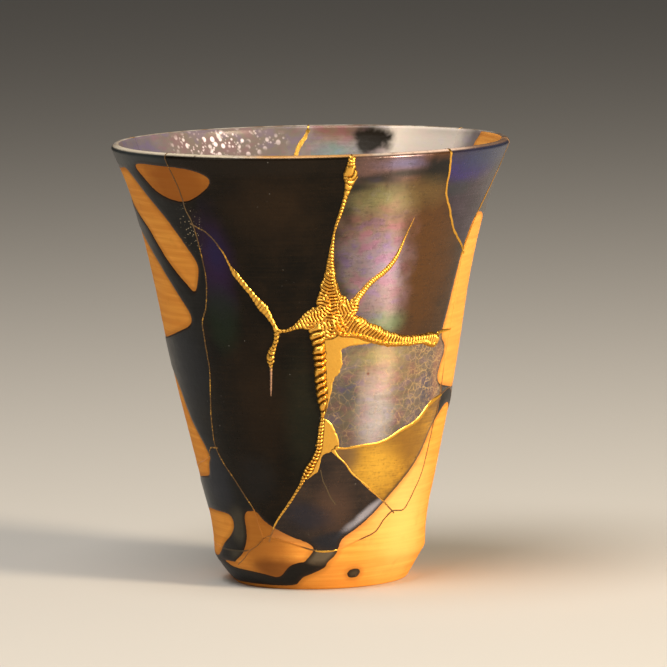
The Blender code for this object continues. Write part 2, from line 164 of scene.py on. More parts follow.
@dataclass(frozen=True)
class Wall:
    """The turned form of the cup, in millimetres."""

    height: float
    rim_radius: float
    thickness: float = 3.0
    lip: float = 1.1
    floor_top: float = 5.5
    floor_corner: float = 3.2
    foot_ring: float = 4.0
    foot_recess: float = 1.6
    bevel_top: float = 6.6
    foot_radius: float = 19.6
    flare_from: float = 94.4
    glaze_room: float = 0.05
    flat_rows: int = 14
    lip_rows: int = 11
    corner_rows: int = 6
    profile: tuple[tuple[float, float], ...] = (
        (6.6, 23.9), (10.5, 24.1), (16.0, 24.9), (22.7, 26.5), (34.5, 29.1), (44.7, 31.3),
        (55.0, 33.3), (67.4, 35.5), (77.0, 37.6), (83.0, 39.2), (89.6, 41.3), (94.4, 43.2))
    lean: tuple[tuple[float, float], ...] = (
        (0.0, 0.0), (6.6, 0.020), (16.0, 0.0), (40.0, 0.0), (99.5, -0.006))
    sway: tuple[tuple[float, float], ...] = ((0.0, 0.0), (30.0, -0.1), (68.0, -0.4), (99.5, 0.0))

    @classmethod
    def from_frame(cls) -> Wall:
        """Read the height and the rim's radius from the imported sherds."""
        low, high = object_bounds()
        lift = -cls.lean[-1][1] * (high.x - low.x) / 2
        return cls(height=round((high.z - lift) / MM - cls.glaze_room, 2),
                   rim_radius=round((high.x - low.x) / 2 / MM, 1) - cls.glaze_room)

    @property
    def lip_centre(self) -> float:
        """The height of the middle of the lip's round."""
        return self.height - self.lip

    @property
    def lip_radius(self) -> float:
        """The radius at the middle of the lip's round."""
        return self.rim_radius - self.lip

    def _round(self, height: Array) -> Array:
        """How far the lip's round reaches from its middle at a height."""
        over = np.clip(height - self.lip_centre, 0.0, self.lip)
        return np.sqrt(np.maximum(self.lip ** 2 - over ** 2, 0.0))

    def outer(self, height: Array) -> Array:
        """The outer radius at a height."""
        height = np.asarray(height, float)
        rows = [*self.profile, (self.lip_centre, self.rim_radius)]
        wall = smooth_curve(rows)(np.minimum(height, self.lip_centre))
        share = height / self.bevel_top
        bevel = self.foot_radius + share * (self.profile[0][1] - self.foot_radius)
        wall = np.where(height < self.bevel_top, bevel, wall)
        return np.where(height > self.lip_centre, self.lip_radius + self._round(height), wall)

    def inner(self, height: Array) -> Array:
        """The inner radius at a height above the floor's corner."""
        height = np.asarray(height, float)
        near = smooth_step(self.flare_from - 6.0, self.lip_centre, height)
        thickness = self.thickness + near * (2 * self.lip - self.thickness)
        wall = self.outer(np.minimum(height, self.lip_centre)) - thickness
        return np.where(height > self.lip_centre, self.lip_radius - self._round(height), wall)

    def section(self, outer_step: float, inner_step: float) -> list[tuple[float, float]]:
        """The closed section from the underside's middle, up outside, over the lip, to the floor.

        Args:
            outer_step: spacing of the rows outside.
            inner_step: spacing of the rows inside.

        Returns:
            Points as (radius, height).
        """
        foot_in = self.foot_radius - self.foot_ring
        recess = foot_in - self.foot_recess
        points = [(radius, self.foot_recess)
                  for radius in np.linspace(0.0, recess, self.flat_rows)]
        points += [(recess + 0.5 * self.foot_recess, 0.5 * self.foot_recess),
                   (foot_in - 0.12, 0.12), (foot_in + 0.3, 0.0)]
        points += [(radius, 0.0)
                   for radius in np.linspace(foot_in + 1.0, self.foot_radius - 0.5, 4)]
        points += [(self.foot_radius - 0.1, 0.04)]
        rows = np.arange(0.35, self.lip_centre, outer_step)
        points += [(float(self.outer(row)), float(row)) for row in rows]
        for turn in np.linspace(0.0, math.pi, self.lip_rows):
            points.append((self.lip_radius + self.lip * math.cos(turn),
                           self.lip_centre + self.lip * math.sin(turn)))
        corner = self.floor_top + self.floor_corner
        rows = np.arange(self.lip_centre - inner_step, corner, -inner_step)
        points += [(float(self.inner(row)), float(row)) for row in rows]
        edge = float(self.inner(corner))
        for turn in np.linspace(0.0, math.pi / 2, self.corner_rows):
            points.append((edge - self.floor_corner * (1 - math.cos(turn)),
                           corner - self.floor_corner * math.sin(turn)))
        inside = edge - self.floor_corner
        points += [(radius, self.floor_top)
                   for radius in np.linspace(inside, 0.0, self.flat_rows)[1:]]
        return points

    def arc(self, turn: Array, height: Array) -> Array:
        """The way round from the front to a turn, along the wall."""
        return np.radians(turn) * self.outer(height)

    def settle(self, piece: Piece) -> None:
        """Lean and sway a finished piece as the hand-thrown cup does."""
        spots = read_points(piece)
        height = spots[:, 2] / MM
        spots[:, 2] += spots[:, 0] * smooth_curve(self.lean)(height)
        spots[:, 0] += smooth_curve(self.sway)(height) * MM
        write_points(piece, spots)


def on_wall(turn: Array, radius: Array, height: Array) -> Array:
    """Points in metres from turns in degrees and millimetres."""
    angle = np.radians(turn)
    return np.stack([radius * np.sin(angle), -radius * np.cos(angle), height], -1) * MM


@dataclass(frozen=True)
class Route:
    """A crack's way over the wall: rows of (turn, height, ...) that a smooth line runs through."""

    points: tuple[tuple[float, ...], ...]
    closed: bool = field(default=False, kw_only=True)

    def walk(self, wall: Wall, spacing: float) -> Array:
        """Space stations along the smooth line.

        Args:
            wall: the form that the line lies on.
            spacing: distance between stations in millimetres.

        Returns:
            One row for each station, with the columns of the points.
        """
        rows = np.array(self.points, float)
        if self.closed:
            again = rows[0].copy()
            again[0] += 360.0
            rows = np.vstack([rows, again])
        middle = (rows[1:, 1] + rows[:-1, 1]) / 2
        arcs = np.radians(np.diff(rows[:, 0])) * wall.outer(middle)
        along = np.concatenate([[0.0], np.cumsum(np.hypot(arcs, np.diff(rows[:, 1])))])
        count = max(2, round(along[-1] / spacing))
        places = np.linspace(0.0, along[-1], count + 1)
        keyed = np.column_stack([along, rows])
        return np.column_stack([smooth_curve(keyed, column + 1)(places)
                                for column in range(rows.shape[1])])


class Outline:
    """A closed smooth outline on the wall that tells how far inside it a place is."""

    def __init__(self, wall: Wall, points: Points, cuts: int = 2) -> None:
        """Round off the outline's corners by cutting them a few times."""
        self.wall = wall
        flat = np.array([(wall.arc(turn, height), height) for turn, height in points], float)
        for _ in range(cuts):
            ahead = np.roll(flat, -1, axis=0)
            flat = np.stack([flat * 0.75 + ahead * 0.25, flat * 0.25 + ahead * 0.75],
                            axis=1).reshape(-1, 2)
        self.flat = flat

    def depth(self, turn: Array, height: Array, reach: float = 3.0) -> Array:
        """How far inside the outline each place is, in millimetres, and negative outside.

        Args:
            turn: turns of the places, in degrees.
            height: heights of the places, in millimetres.
            reach: distance past which a place outside is only known to be far.

        Returns:
            The depths.
        """
        across = self.wall.arc(turn, height)
        low, high = self.flat.min(0) - reach, self.flat.max(0) + reach
        near = ((across > low[0]) & (across < high[0]) & (height > low[1]) & (height < high[1]))
        depth = np.full(np.shape(across), -reach)
        if near.any():
            spots = np.stack([across[near], height[near]], -1)
            depth[near] = np.maximum(self._signed(spots), -reach)
        return depth

    def _signed(self, spots: Array) -> Array:
        """The signed distance of flat places to the outline, in chunks to spare memory."""
        corners = (self.flat[:, 0] + 1j * self.flat[:, 1]).astype(np.complex64)
        run = np.roll(corners, -1) - corners
        inverse = np.conj(run) / np.maximum(np.abs(run) ** 2, 1e-6)
        slope = run.real / np.where(np.abs(run.imag) < 1e-6, 1e-6, run.imag)
        places = (spots[:, 0] + 1j * spots[:, 1]).astype(np.complex64)
        out = []
        for chunk in np.array_split(places, max(1, len(places) // CHUNK)):
            away = chunk[:, None] - corners
            part = np.clip((away * inverse).real, 0.0, 1.0)
            distance = np.abs(away - part * run).min(1)
            beside = (away.imag < 0) != (away.imag < run.imag)
            inside = (beside & (away.real < away.imag * slope)).sum(1) % 2 == 1
            out.append(np.where(inside, distance, -distance))
        return np.concatenate(out)


# --- the bench: modelling by operators ---


def read_points(piece: Piece) -> Array:
    """The vertices of a piece, in metres."""
    flat = np.zeros(len(piece.data.vertices) * 3)
    piece.data.vertices.foreach_get("co", flat)
    return flat.reshape(-1, 3)


def write_points(piece: Piece, spots: Array) -> None:
    """Move the vertices of a piece."""
    piece.data.vertices.foreach_set("co", np.asarray(spots, float).ravel())
    piece.data.update()


def write_field(piece: Piece, name: str, values: Array) -> None:
    """Store a number at each vertex of a piece for its finish to read."""
    layer = piece.data.attributes.new(name, "FLOAT", "POINT")
    layer.data.foreach_set("value", np.asarray(values, float))


class Bench:
    """Modelling steps done with Blender's operators."""

    @staticmethod
    def alone(piece: Piece) -> None:
        """Select one piece only and make it active."""
        bpy.ops.object.select_all(action="DESELECT")
        piece.select_set(True)
        bpy.context.view_layer.objects.active = piece

    @staticmethod
    def sheet(name: str, spots: Array) -> Piece:
        """Add a grid and lay its vertices out.

        Args:
            name: the piece's name.
            spots: places in metres as an array of rows by columns by 3.

        Returns:
            The piece, with its faces as the rows and columns give them.
        """
        rows, columns = spots.shape[:2]
        bpy.ops.object.select_all(action="DESELECT")
        bpy.ops.mesh.primitive_grid_add(x_subdivisions=columns - 1, y_subdivisions=rows - 1)
        piece = bpy.context.active_object
        piece.name = piece.data.name = name
        write_points(piece, spots.reshape(-1, 3))
        return piece

    @classmethod
    def modify(cls, piece: Piece, kind: str, **settings: Any) -> None:
        """Give a piece a modifier and apply it."""
        cls.alone(piece)
        change = piece.modifiers.new(kind.lower(), kind)
        for name, value in settings.items():
            setattr(change, name, value)
        bpy.ops.object.modifier_apply(modifier=change.name)

    @classmethod
    def thicken(cls, piece: Piece, thickness: float, offset: float = 0.0) -> None:
        """Give a sheet a thickness in millimetres."""
        cls.modify(piece, "SOLIDIFY", thickness=thickness * MM, offset=offset,
                   use_even_offset=False)

    @classmethod
    def combine(cls, piece: Piece, tool: Piece, operation: str) -> None:
        """Cut or join a closed piece with a closed tool, which is used up."""
        cls.modify(piece, "BOOLEAN", operation=operation, solver="MANIFOLD", object=tool)
        bpy.data.objects.remove(tool)

    @classmethod
    def keep_points(cls, piece: Piece, keep: Array) -> None:
        """Delete the vertices that aren't kept."""
        cls.alone(piece)
        bpy.ops.object.mode_set(mode="EDIT")
        bpy.ops.mesh.select_all(action="DESELECT")
        bpy.ops.mesh.select_mode(type="VERT")
        bpy.ops.object.mode_set(mode="OBJECT")
        piece.data.vertices.foreach_set("select", ~keep)
        bpy.ops.object.mode_set(mode="EDIT")
        bpy.ops.mesh.delete(type="VERT")
        bpy.ops.object.mode_set(mode="OBJECT")

    @classmethod
    @contextmanager
    def editing(cls, piece: Piece) -> Iterator[None]:
        """Hold one piece in edit mode with all of it selected."""
        cls.alone(piece)
        bpy.ops.object.mode_set(mode="EDIT")
        bpy.ops.mesh.select_all(action="SELECT")
        yield
        bpy.ops.object.mode_set(mode="OBJECT")

    @classmethod
    def turned(cls, name: str, section: Points, segments: int) -> Piece:
        """Spin a section of (radius, height) round the axis into a closed body."""
        bpy.ops.object.select_all(action="DESELECT")
        bpy.ops.mesh.primitive_circle_add(vertices=len(section) + 1, fill_type="NOTHING")
        piece = bpy.context.active_object
        piece.name = piece.data.name = name
        cls.keep_points(piece, np.arange(len(section) + 1) < len(section))
        write_points(piece, np.array([(radius, 0.0, height) for radius, height in section]) * MM)
        with cls.editing(piece):
            bpy.ops.mesh.spin(steps=segments, angle=math.tau, center=(0, 0, 0), axis=(0, 0, 1))
            bpy.ops.mesh.select_all(action="SELECT")
            bpy.ops.mesh.remove_doubles(threshold=0.001 * MM)
            bpy.ops.mesh.normals_make_consistent(inside=False)
        return piece

    @classmethod
    def loose_parts(cls, piece: Piece) -> list[Piece]:
        """Split a piece into its loose parts."""
        with cls.editing(piece):
            bpy.ops.mesh.separate(type="LOOSE")
        return list(bpy.context.selected_objects)

    @classmethod
    def smooth(cls, piece: Piece, sharp: float = 40.0) -> None:
        """Shade a piece smooth but for edges that turn more than an angle in degrees."""
        cls.alone(piece)
        bpy.ops.object.shade_smooth_by_angle(angle=math.radians(sharp))


# --- where the glaze lies ---

# Bare clay outside, seen through the glaze: at the left, the front and the right, then at the back
BARE_OUTSIDE: dict[str, Points] = {
    "rim_patch": [(-63.5, 96), (-60, 96.9), (-50, 96.7), (-40, 96.5), (-34.5, 95.7),
        (-31.4, 94.6), (-31.2, 93), (-36.3, 90.4), (-43, 88.5), (-50, 89.2), (-56, 90.8),
        (-60.4, 94)],
    "long_stripe": [(-88, 94.8), (-80, 94.6), (-73.3, 95.3), (-70, 94.8), (-63.3, 90.2),
        (-55, 85.2), (-50.8, 81.8), (-47.1, 78.6), (-43.6, 75.6), (-42.7, 73.6), (-45.2, 69.4),
        (-47.3, 67.8), (-50.8, 69.9), (-58.3, 73.8), (-65.8, 79.2), (-70, 82.2), (-80, 85.6),
        (-90, 88), (-97, 91.5), (-96, 94.5)],
    "side_lobe": [(-80, 79.6), (-75, 77.5), (-70, 75.2), (-65, 72.3), (-60, 69), (-55, 65.5),
        (-51, 62.6), (-52.6, 60.3), (-60, 58.9), (-70, 57.3), (-80, 56.2), (-92, 56), (-103, 60),
        (-108, 68), (-104, 77), (-92, 81)],
    "low_wedge": [(-80, 46.9), (-75.8, 44.8), (-73.8, 41.9), (-70, 37.7), (-65, 34.6),
        (-61, 31.8), (-58.6, 29.6), (-61.7, 28.6), (-63.3, 25.9), (-66, 25.1), (-75, 24.6),
        (-80, 24.2), (-94, 23.5), (-106, 28), (-108, 38), (-98, 47), (-88, 49)],
    "low_lobe": [(-80, 17.2), (-57.5, 17.1), (-52.6, 16.7), (-50.6, 15), (-52.6, 13),
        (-57.5, 11.4), (-62.5, 10.3), (-67.5, 8.4), (-72, 7.1), (-80, 6.6), (-92, 7.5), (-98, 11),
        (-92, 16)],
    "front_foot": [(-41.9, 18), (-35, 18.3), (-33, 18), (-30, 16.2), (-25, 14.8), (-20, 13.7),
        (-15, 12.7), (-10, 11.9), (-6.1, 11.3), (-2.6, 9.9), (-5, 8.5), (-8.3, 7.1), (-10, 6),
        (-25, 5), (-45, 4.6), (-57, 5.6), (-50.8, 7.2), (-47.5, 7.9), (-45, 9.2), (-42.5, 11.5),
        (-41.9, 13)],
    "right_foot": [(8.3, 8.2), (9.9, 9.9), (11.4, 11.8), (15, 12.9), (20, 14.2), (27.8, 16.9),
        (34.4, 19.8), (41.7, 23.1), (50, 26.7), (56.1, 30.4), (60, 34.7), (65, 37.8),
        (73.3, 40.4), (82, 39.7), (95, 36), (110, 29), (130, 22), (150, 19), (165, 13.5),
        (176, 17.5), (195, 15), (212, 10.5), (225, 15.5), (245, 13), (262, 14.5), (268, 9),
        (262, 3), (180, 3), (90, 3), (30, 3), (4, 4), (2.5, 6), (5, 7.2)],
    "right_side": [(58.1, 57.6), (60, 61.1), (61.7, 65), (63.3, 70), (65, 76.1), (67.5, 80.2),
        (70, 83.5), (75, 83.8), (82, 82.4), (95, 79), (106, 72), (112, 62), (108, 50), (96, 43.5),
        (82, 43.2), (70, 44.3), (61.5, 45.2), (59.2, 47.2), (60.2, 49.8), (62.6, 52.6),
        (61.7, 54.6), (58.6, 55.7)],
    "back_lobe": [(205, 56), (214, 66), (226, 75), (238, 83), (244, 81), (240, 72), (230, 63),
        (217, 55), (208, 52)],
}
# Glaze run over the bare foot
GLAZED_FOOT: dict[str, Points] = {
    "band": [(-66, 6.1), (-60, 4.7), (-45, 4.4), (-35, 3.8), (-30, 3.3), (-26.3, 3), (-22.5, 3.8),
        (-18.3, 5.6), (-15, 6.5), (-10, 7), (-2.8, 7), (3.6, 6.3), (2.4, 5.4), (-0.6, 4.8),
        (-5, 4), (-10, 3.3), (-13, 2.3), (-15, 1.2), (-25, 0.9), (-45, 0.9), (-60, 0.8),
        (-75, 0.7), (-92, 1.5), (-95, 4), (-88, 6.2), (-75, 6.6)],
    "spot": [(15.4, 3.6), (16.8, 4.5), (19.7, 4.75), (22.6, 4.5), (24, 3.6), (22.6, 2.7),
        (19.7, 2.45), (16.8, 2.7)],
}
BARE_INSIDE: dict[str, Points] = {
    "rim_patch": [(86, 99.2), (96, 101), (112, 100.6), (117, 98.6), (116, 93), (108, 88),
        (97, 87), (89, 91)],
}
# The foot is bare below this height, but for the glaze run over it
FOOT_LINE = 6.3


class WallMap:
    """A value over the whole wall, kept on a lattice of turns and heights."""

    turn_step: float = 0.75
    height_step: float = 0.6

    def __init__(self, wall: Wall, read: Callable[[Array, Array], Array]) -> None:
        """Fill the lattice from a function of turn and height."""
        turns = np.arange(-180.0, 180.0 + self.turn_step, self.turn_step)
        heights = np.arange(0.0, wall.height + 2 * self.height_step, self.height_step)
        turn, height = np.meshgrid(turns, heights)
        self.values = read(turn.ravel(), height.ravel()).reshape(turn.shape)

    def at(self, turn: Array, height: Array) -> Array:
        """Read the value at places between the lattice's points."""
        u = (np.asarray(turn) + 180.0) % 360.0 / self.turn_step
        v = np.clip(height, 0.0, None) / self.height_step
        column = np.minimum(u.astype(int), self.values.shape[1] - 2)
        row = np.minimum(v.astype(int), self.values.shape[0] - 2)
        corners = [self.values[row + rise, column + on] for rise in (0, 1) for on in (0, 1)]
        return between(corners, u - column, v - row)


class GlazeMap:
    """Where the clay is bare, and how the glaze thickens the wall."""

    glaze: float = 0.16
    shoulder: float = 0.9
    ring_height: float = 0.012
    ring_pitch: float = 3.7
    ring_stray: float = 1.5
    stray_pitch: float = 17.0
    ring_span: tuple[float, float, float, float] = (7.0, 12.0, 96.0, 99.0)
    uneven: float = 0.10
    uneven_pitch: float = 23.0
    uneven_span: tuple[float, float, float, float] = (8.0, 20.0, 93.0, 99.5)
    lip_fade: float = 6.0

    def __init__(self, wall: Wall) -> None:
        """Lay the outlines out on the wall."""
        self.wall = wall
        bare, glazed, inside = ([Outline(wall, points) for points in group.values()]
                                for group in (BARE_OUTSIDE, GLAZED_FOOT, BARE_INSIDE))

        def read(turn: Array, height: Array) -> Array:
            """How far into bare clay a place outside is."""
            clay = np.maximum(self._deepest(bare, turn, height), FOOT_LINE - height)
            return np.minimum(clay, -self._deepest(glazed, turn, height))

        self.outside = WallMap(wall, read)
        self.within = WallMap(wall, lambda turn, height: self._deepest(inside, turn, height))
        self.throwing = Grain(seed=11)

    def _deepest(self, outlines: Iterable[Outline], turn: Array, height: Array) -> Array:
        """How deep in any of the outlines each place is, looking a turn further round too."""
        return np.max([outline.depth(turn + more, height)
                       for outline in outlines for more in (0.0, 360.0)], axis=0)

    def skin(self, turn: Array, height: Array) -> Array:
        """The outer radius with the throwing rings and the glaze on it."""
        clay = self.outside.at(turn, height)
        arc = self.wall.arc(turn, height)
        stray = self.ring_stray * self.throwing.at(arc, height, self.stray_pitch)
        rings = self.ring_height * np.sin(height * math.tau / self.ring_pitch + stray)
        rings = faded(rings, self.ring_span, height)
        uneven = self.uneven * self.throwing.at(arc, height, self.uneven_pitch)
        uneven = faded(uneven, self.uneven_span, height)
        glaze = self.glaze * smooth_step(0.0, self.shoulder, -clay)
        brim = self.wall.lip_centre
        glaze = glaze * smooth_step(brim, brim - self.lip_fade, height)
        return self.wall.outer(height) + rings + uneven + glaze


# --- the cracks ---

# Where a joint that leaves through the rim ends
ABOVE_RIM = 102.0
# A slab along a joint: how far in from the wall's outer face it reaches and how far out, how far
# apart its stations are, and how uneven its faces are for its width
THROUGH = 6.0
BEYOND = 3.0
SLAB_STEP = 0.9
UNEVEN_SHARE = 0.22
# The radius that turns are unrolled at where a line's grain is read
MEAN_RADIUS = 35.0


class Lacquer(Enum):
    """How a joint's lacquer is finished where it shows, by its share of gold."""

    GILT = 1.0
    SPECKLED = 0.40
    BROWN = 0.0


@dataclass(frozen=True)
class Joint(Route):
    """A joint between sherds: where it runs and how its lacquer shows."""

    lacquer: Lacquer = Lacquer.GILT
    line_width: float = 0.0
    inner_width: float = 0.0


JOINTS: dict[str, Joint] = {
    "rim_crack": Joint(((11.7, ABOVE_RIM), (11.6, 98.3), (11.5, 95.4), (10.9, 91.6), (9.1, 86.3),
        (7.4, 82.1), (6.6, 77), (6.3, 72.5), (6.2, 69), (6.5, 65.5), (6.2, 61.6)),
        inner_width=0.9),
    "left_arm": Joint(((6.9, 63.4), (0, 62.8), (-3.5, 61.9), (-7.7, 60.6), (-11, 60),
        (-14.2, 60)), inner_width=0.9),
    "upper_left_crack": Joint(((-12.6, 58.8), (-15.2, 62.3), (-18.2, 65.4), (-22.7, 69),
        (-27.9, 73.3), (-31.3, 77.9), (-36.3, 81.9), (-42.6, 83.9)), Lacquer.SPECKLED),
    "right_arm": Joint(((4.4, 62.5), (12, 60.9), (18.6, 59.9), (25, 58.2), (34, 56.8), (44, 56.4),
        (50, 56.1), (53.6, 56.2), (56.5, 57.2), (65.8, 57.5)), inner_width=0.9),
    "spine": Joint(((4.8, 64), (2, 60), (2, 55), (2.3, 50), (2.6, 45), (2.9, 41.7), (2.4, 39.3),
        (1.1, 35), (-0.3, 31.5), (-3.6, 28.5), (-6.7, 26.2), (-9.5, 23.9), (-16.7, 19.2),
        (-23.9, 15), (-27.9, 11.4)), inner_width=0.9),
    "amber_top": Joint(((-0.6, 33.8), (6, 33.4), (12.8, 32.9), (22.2, 33.4), (31.1, 34),
        (38.9, 35.8), (48.9, 37.7), (57.2, 41.3), (66, 42.6)), inner_width=0.9),
    "amber_bottom": Joint(((2, 34.6), (9.4, 31), (13.9, 28.5), (19.4, 25.6), (26.1, 22.7),
        (34.7, 19.6), (42.2, 16.8)), Lacquer.SPECKLED),
    "right_edge": Joint(((65.8, 76.6), (66.2, 66), (65, 57.5), (64.2, 50), (65.1, 41.4)),
        Lacquer.BROWN),
    "blue_left": Joint(((43.2, ABOVE_RIM), (43.5, 98.9), (44.6, 95.6), (46, 90), (50, 85.6),
        (54.6, 81), (61.7, 77.2), (67, 74.6)), Lacquer.GILT, 0.55, 0.8),
    "blue_right": Joint(((64.4, 74.2), (68.4, 80), (71.7, 84.4), (77.9, 90), (84, 98),
        (87, ABOVE_RIM)), Lacquer.GILT, 0.7),
    "left_crack": Joint(((-46, ABOVE_RIM), (-45.6, 97.5), (-44, 92), (-43.4, 87.5), (-41.5, 83.8),
        (-40.4, 77.5), (-39.9, 72.5), (-42, 65.4), (-45.6, 60.5), (-45.7, 51.5), (-48, 45.2),
        (-51, 38.8), (-52.4, 33.2), (-50, 30), (-43.5, 25.4), (-38.3, 21.5), (-34.8, 18.6),
        (-33.2, 15), (-31, 11.4)), Lacquer.SPECKLED),
    "left_branch": Joint(((-50.6, 32.4), (-56, 32.2), (-60, 30), (-72, 28), (-86, 26.6),
        (-102.4, 27.4)), Lacquer.SPECKLED),
    "left_hidden": Joint(((-112, ABOVE_RIM), (-111, 92), (-106, 78), (-103, 62), (-106, 46),
        (-101, 30), (-98, 8.2)), Lacquer.GILT, 1),
    "back_hidden": Joint(((180, ABOVE_RIM), (181, 98), (185, 93), (188, 82), (184, 66), (187, 50),
        (182, 34), (184, 15.4)), Lacquer.GILT, 1.1, 0.95),
    "right_hidden": Joint(((128, ABOVE_RIM), (127, 92), (122, 78), (125, 62), (119, 48),
        (118, 27.2)), Lacquer.GILT, 0.9),
    "base": Joint(((-30, 12.5), (-24, 12.2), (-14, 11), (-3.1, 9.6), (2.5, 9.2), (9.4, 9.5),
        (22.2, 11.5), (30.6, 12.9), (36.1, 15.8), (41.5, 17.4), (47.8, 17.1), (55.6, 21.5),
        (60.4, 26.1), (62.4, 33), (65, 42.4), (74, 43.6), (86, 40.5), (102, 34), (118, 28.5),
        (140, 23), (180, 16.8), (215, 13.6), (245, 11), (268, 9.6), (300, 8.9), (314, 9),
        (322, 10)), Lacquer.BROWN, closed=True),
}


@dataclass(frozen=True)
class Ribs:
    """The wrinkles that run across a bead of lacquer."""

    spacing: float = 0.72
    depth: float = 0.45
    chevron: float = 0.0
    slant: float = 0.0
    stray: float = 0.25
    bite: float = 0.12
    settled: bool = False


@dataclass(frozen=True)
class Arm(Route):
    """A raised arm of gold: rows of (turn, height, width, crown)."""

    ribs: Ribs = Ribs()


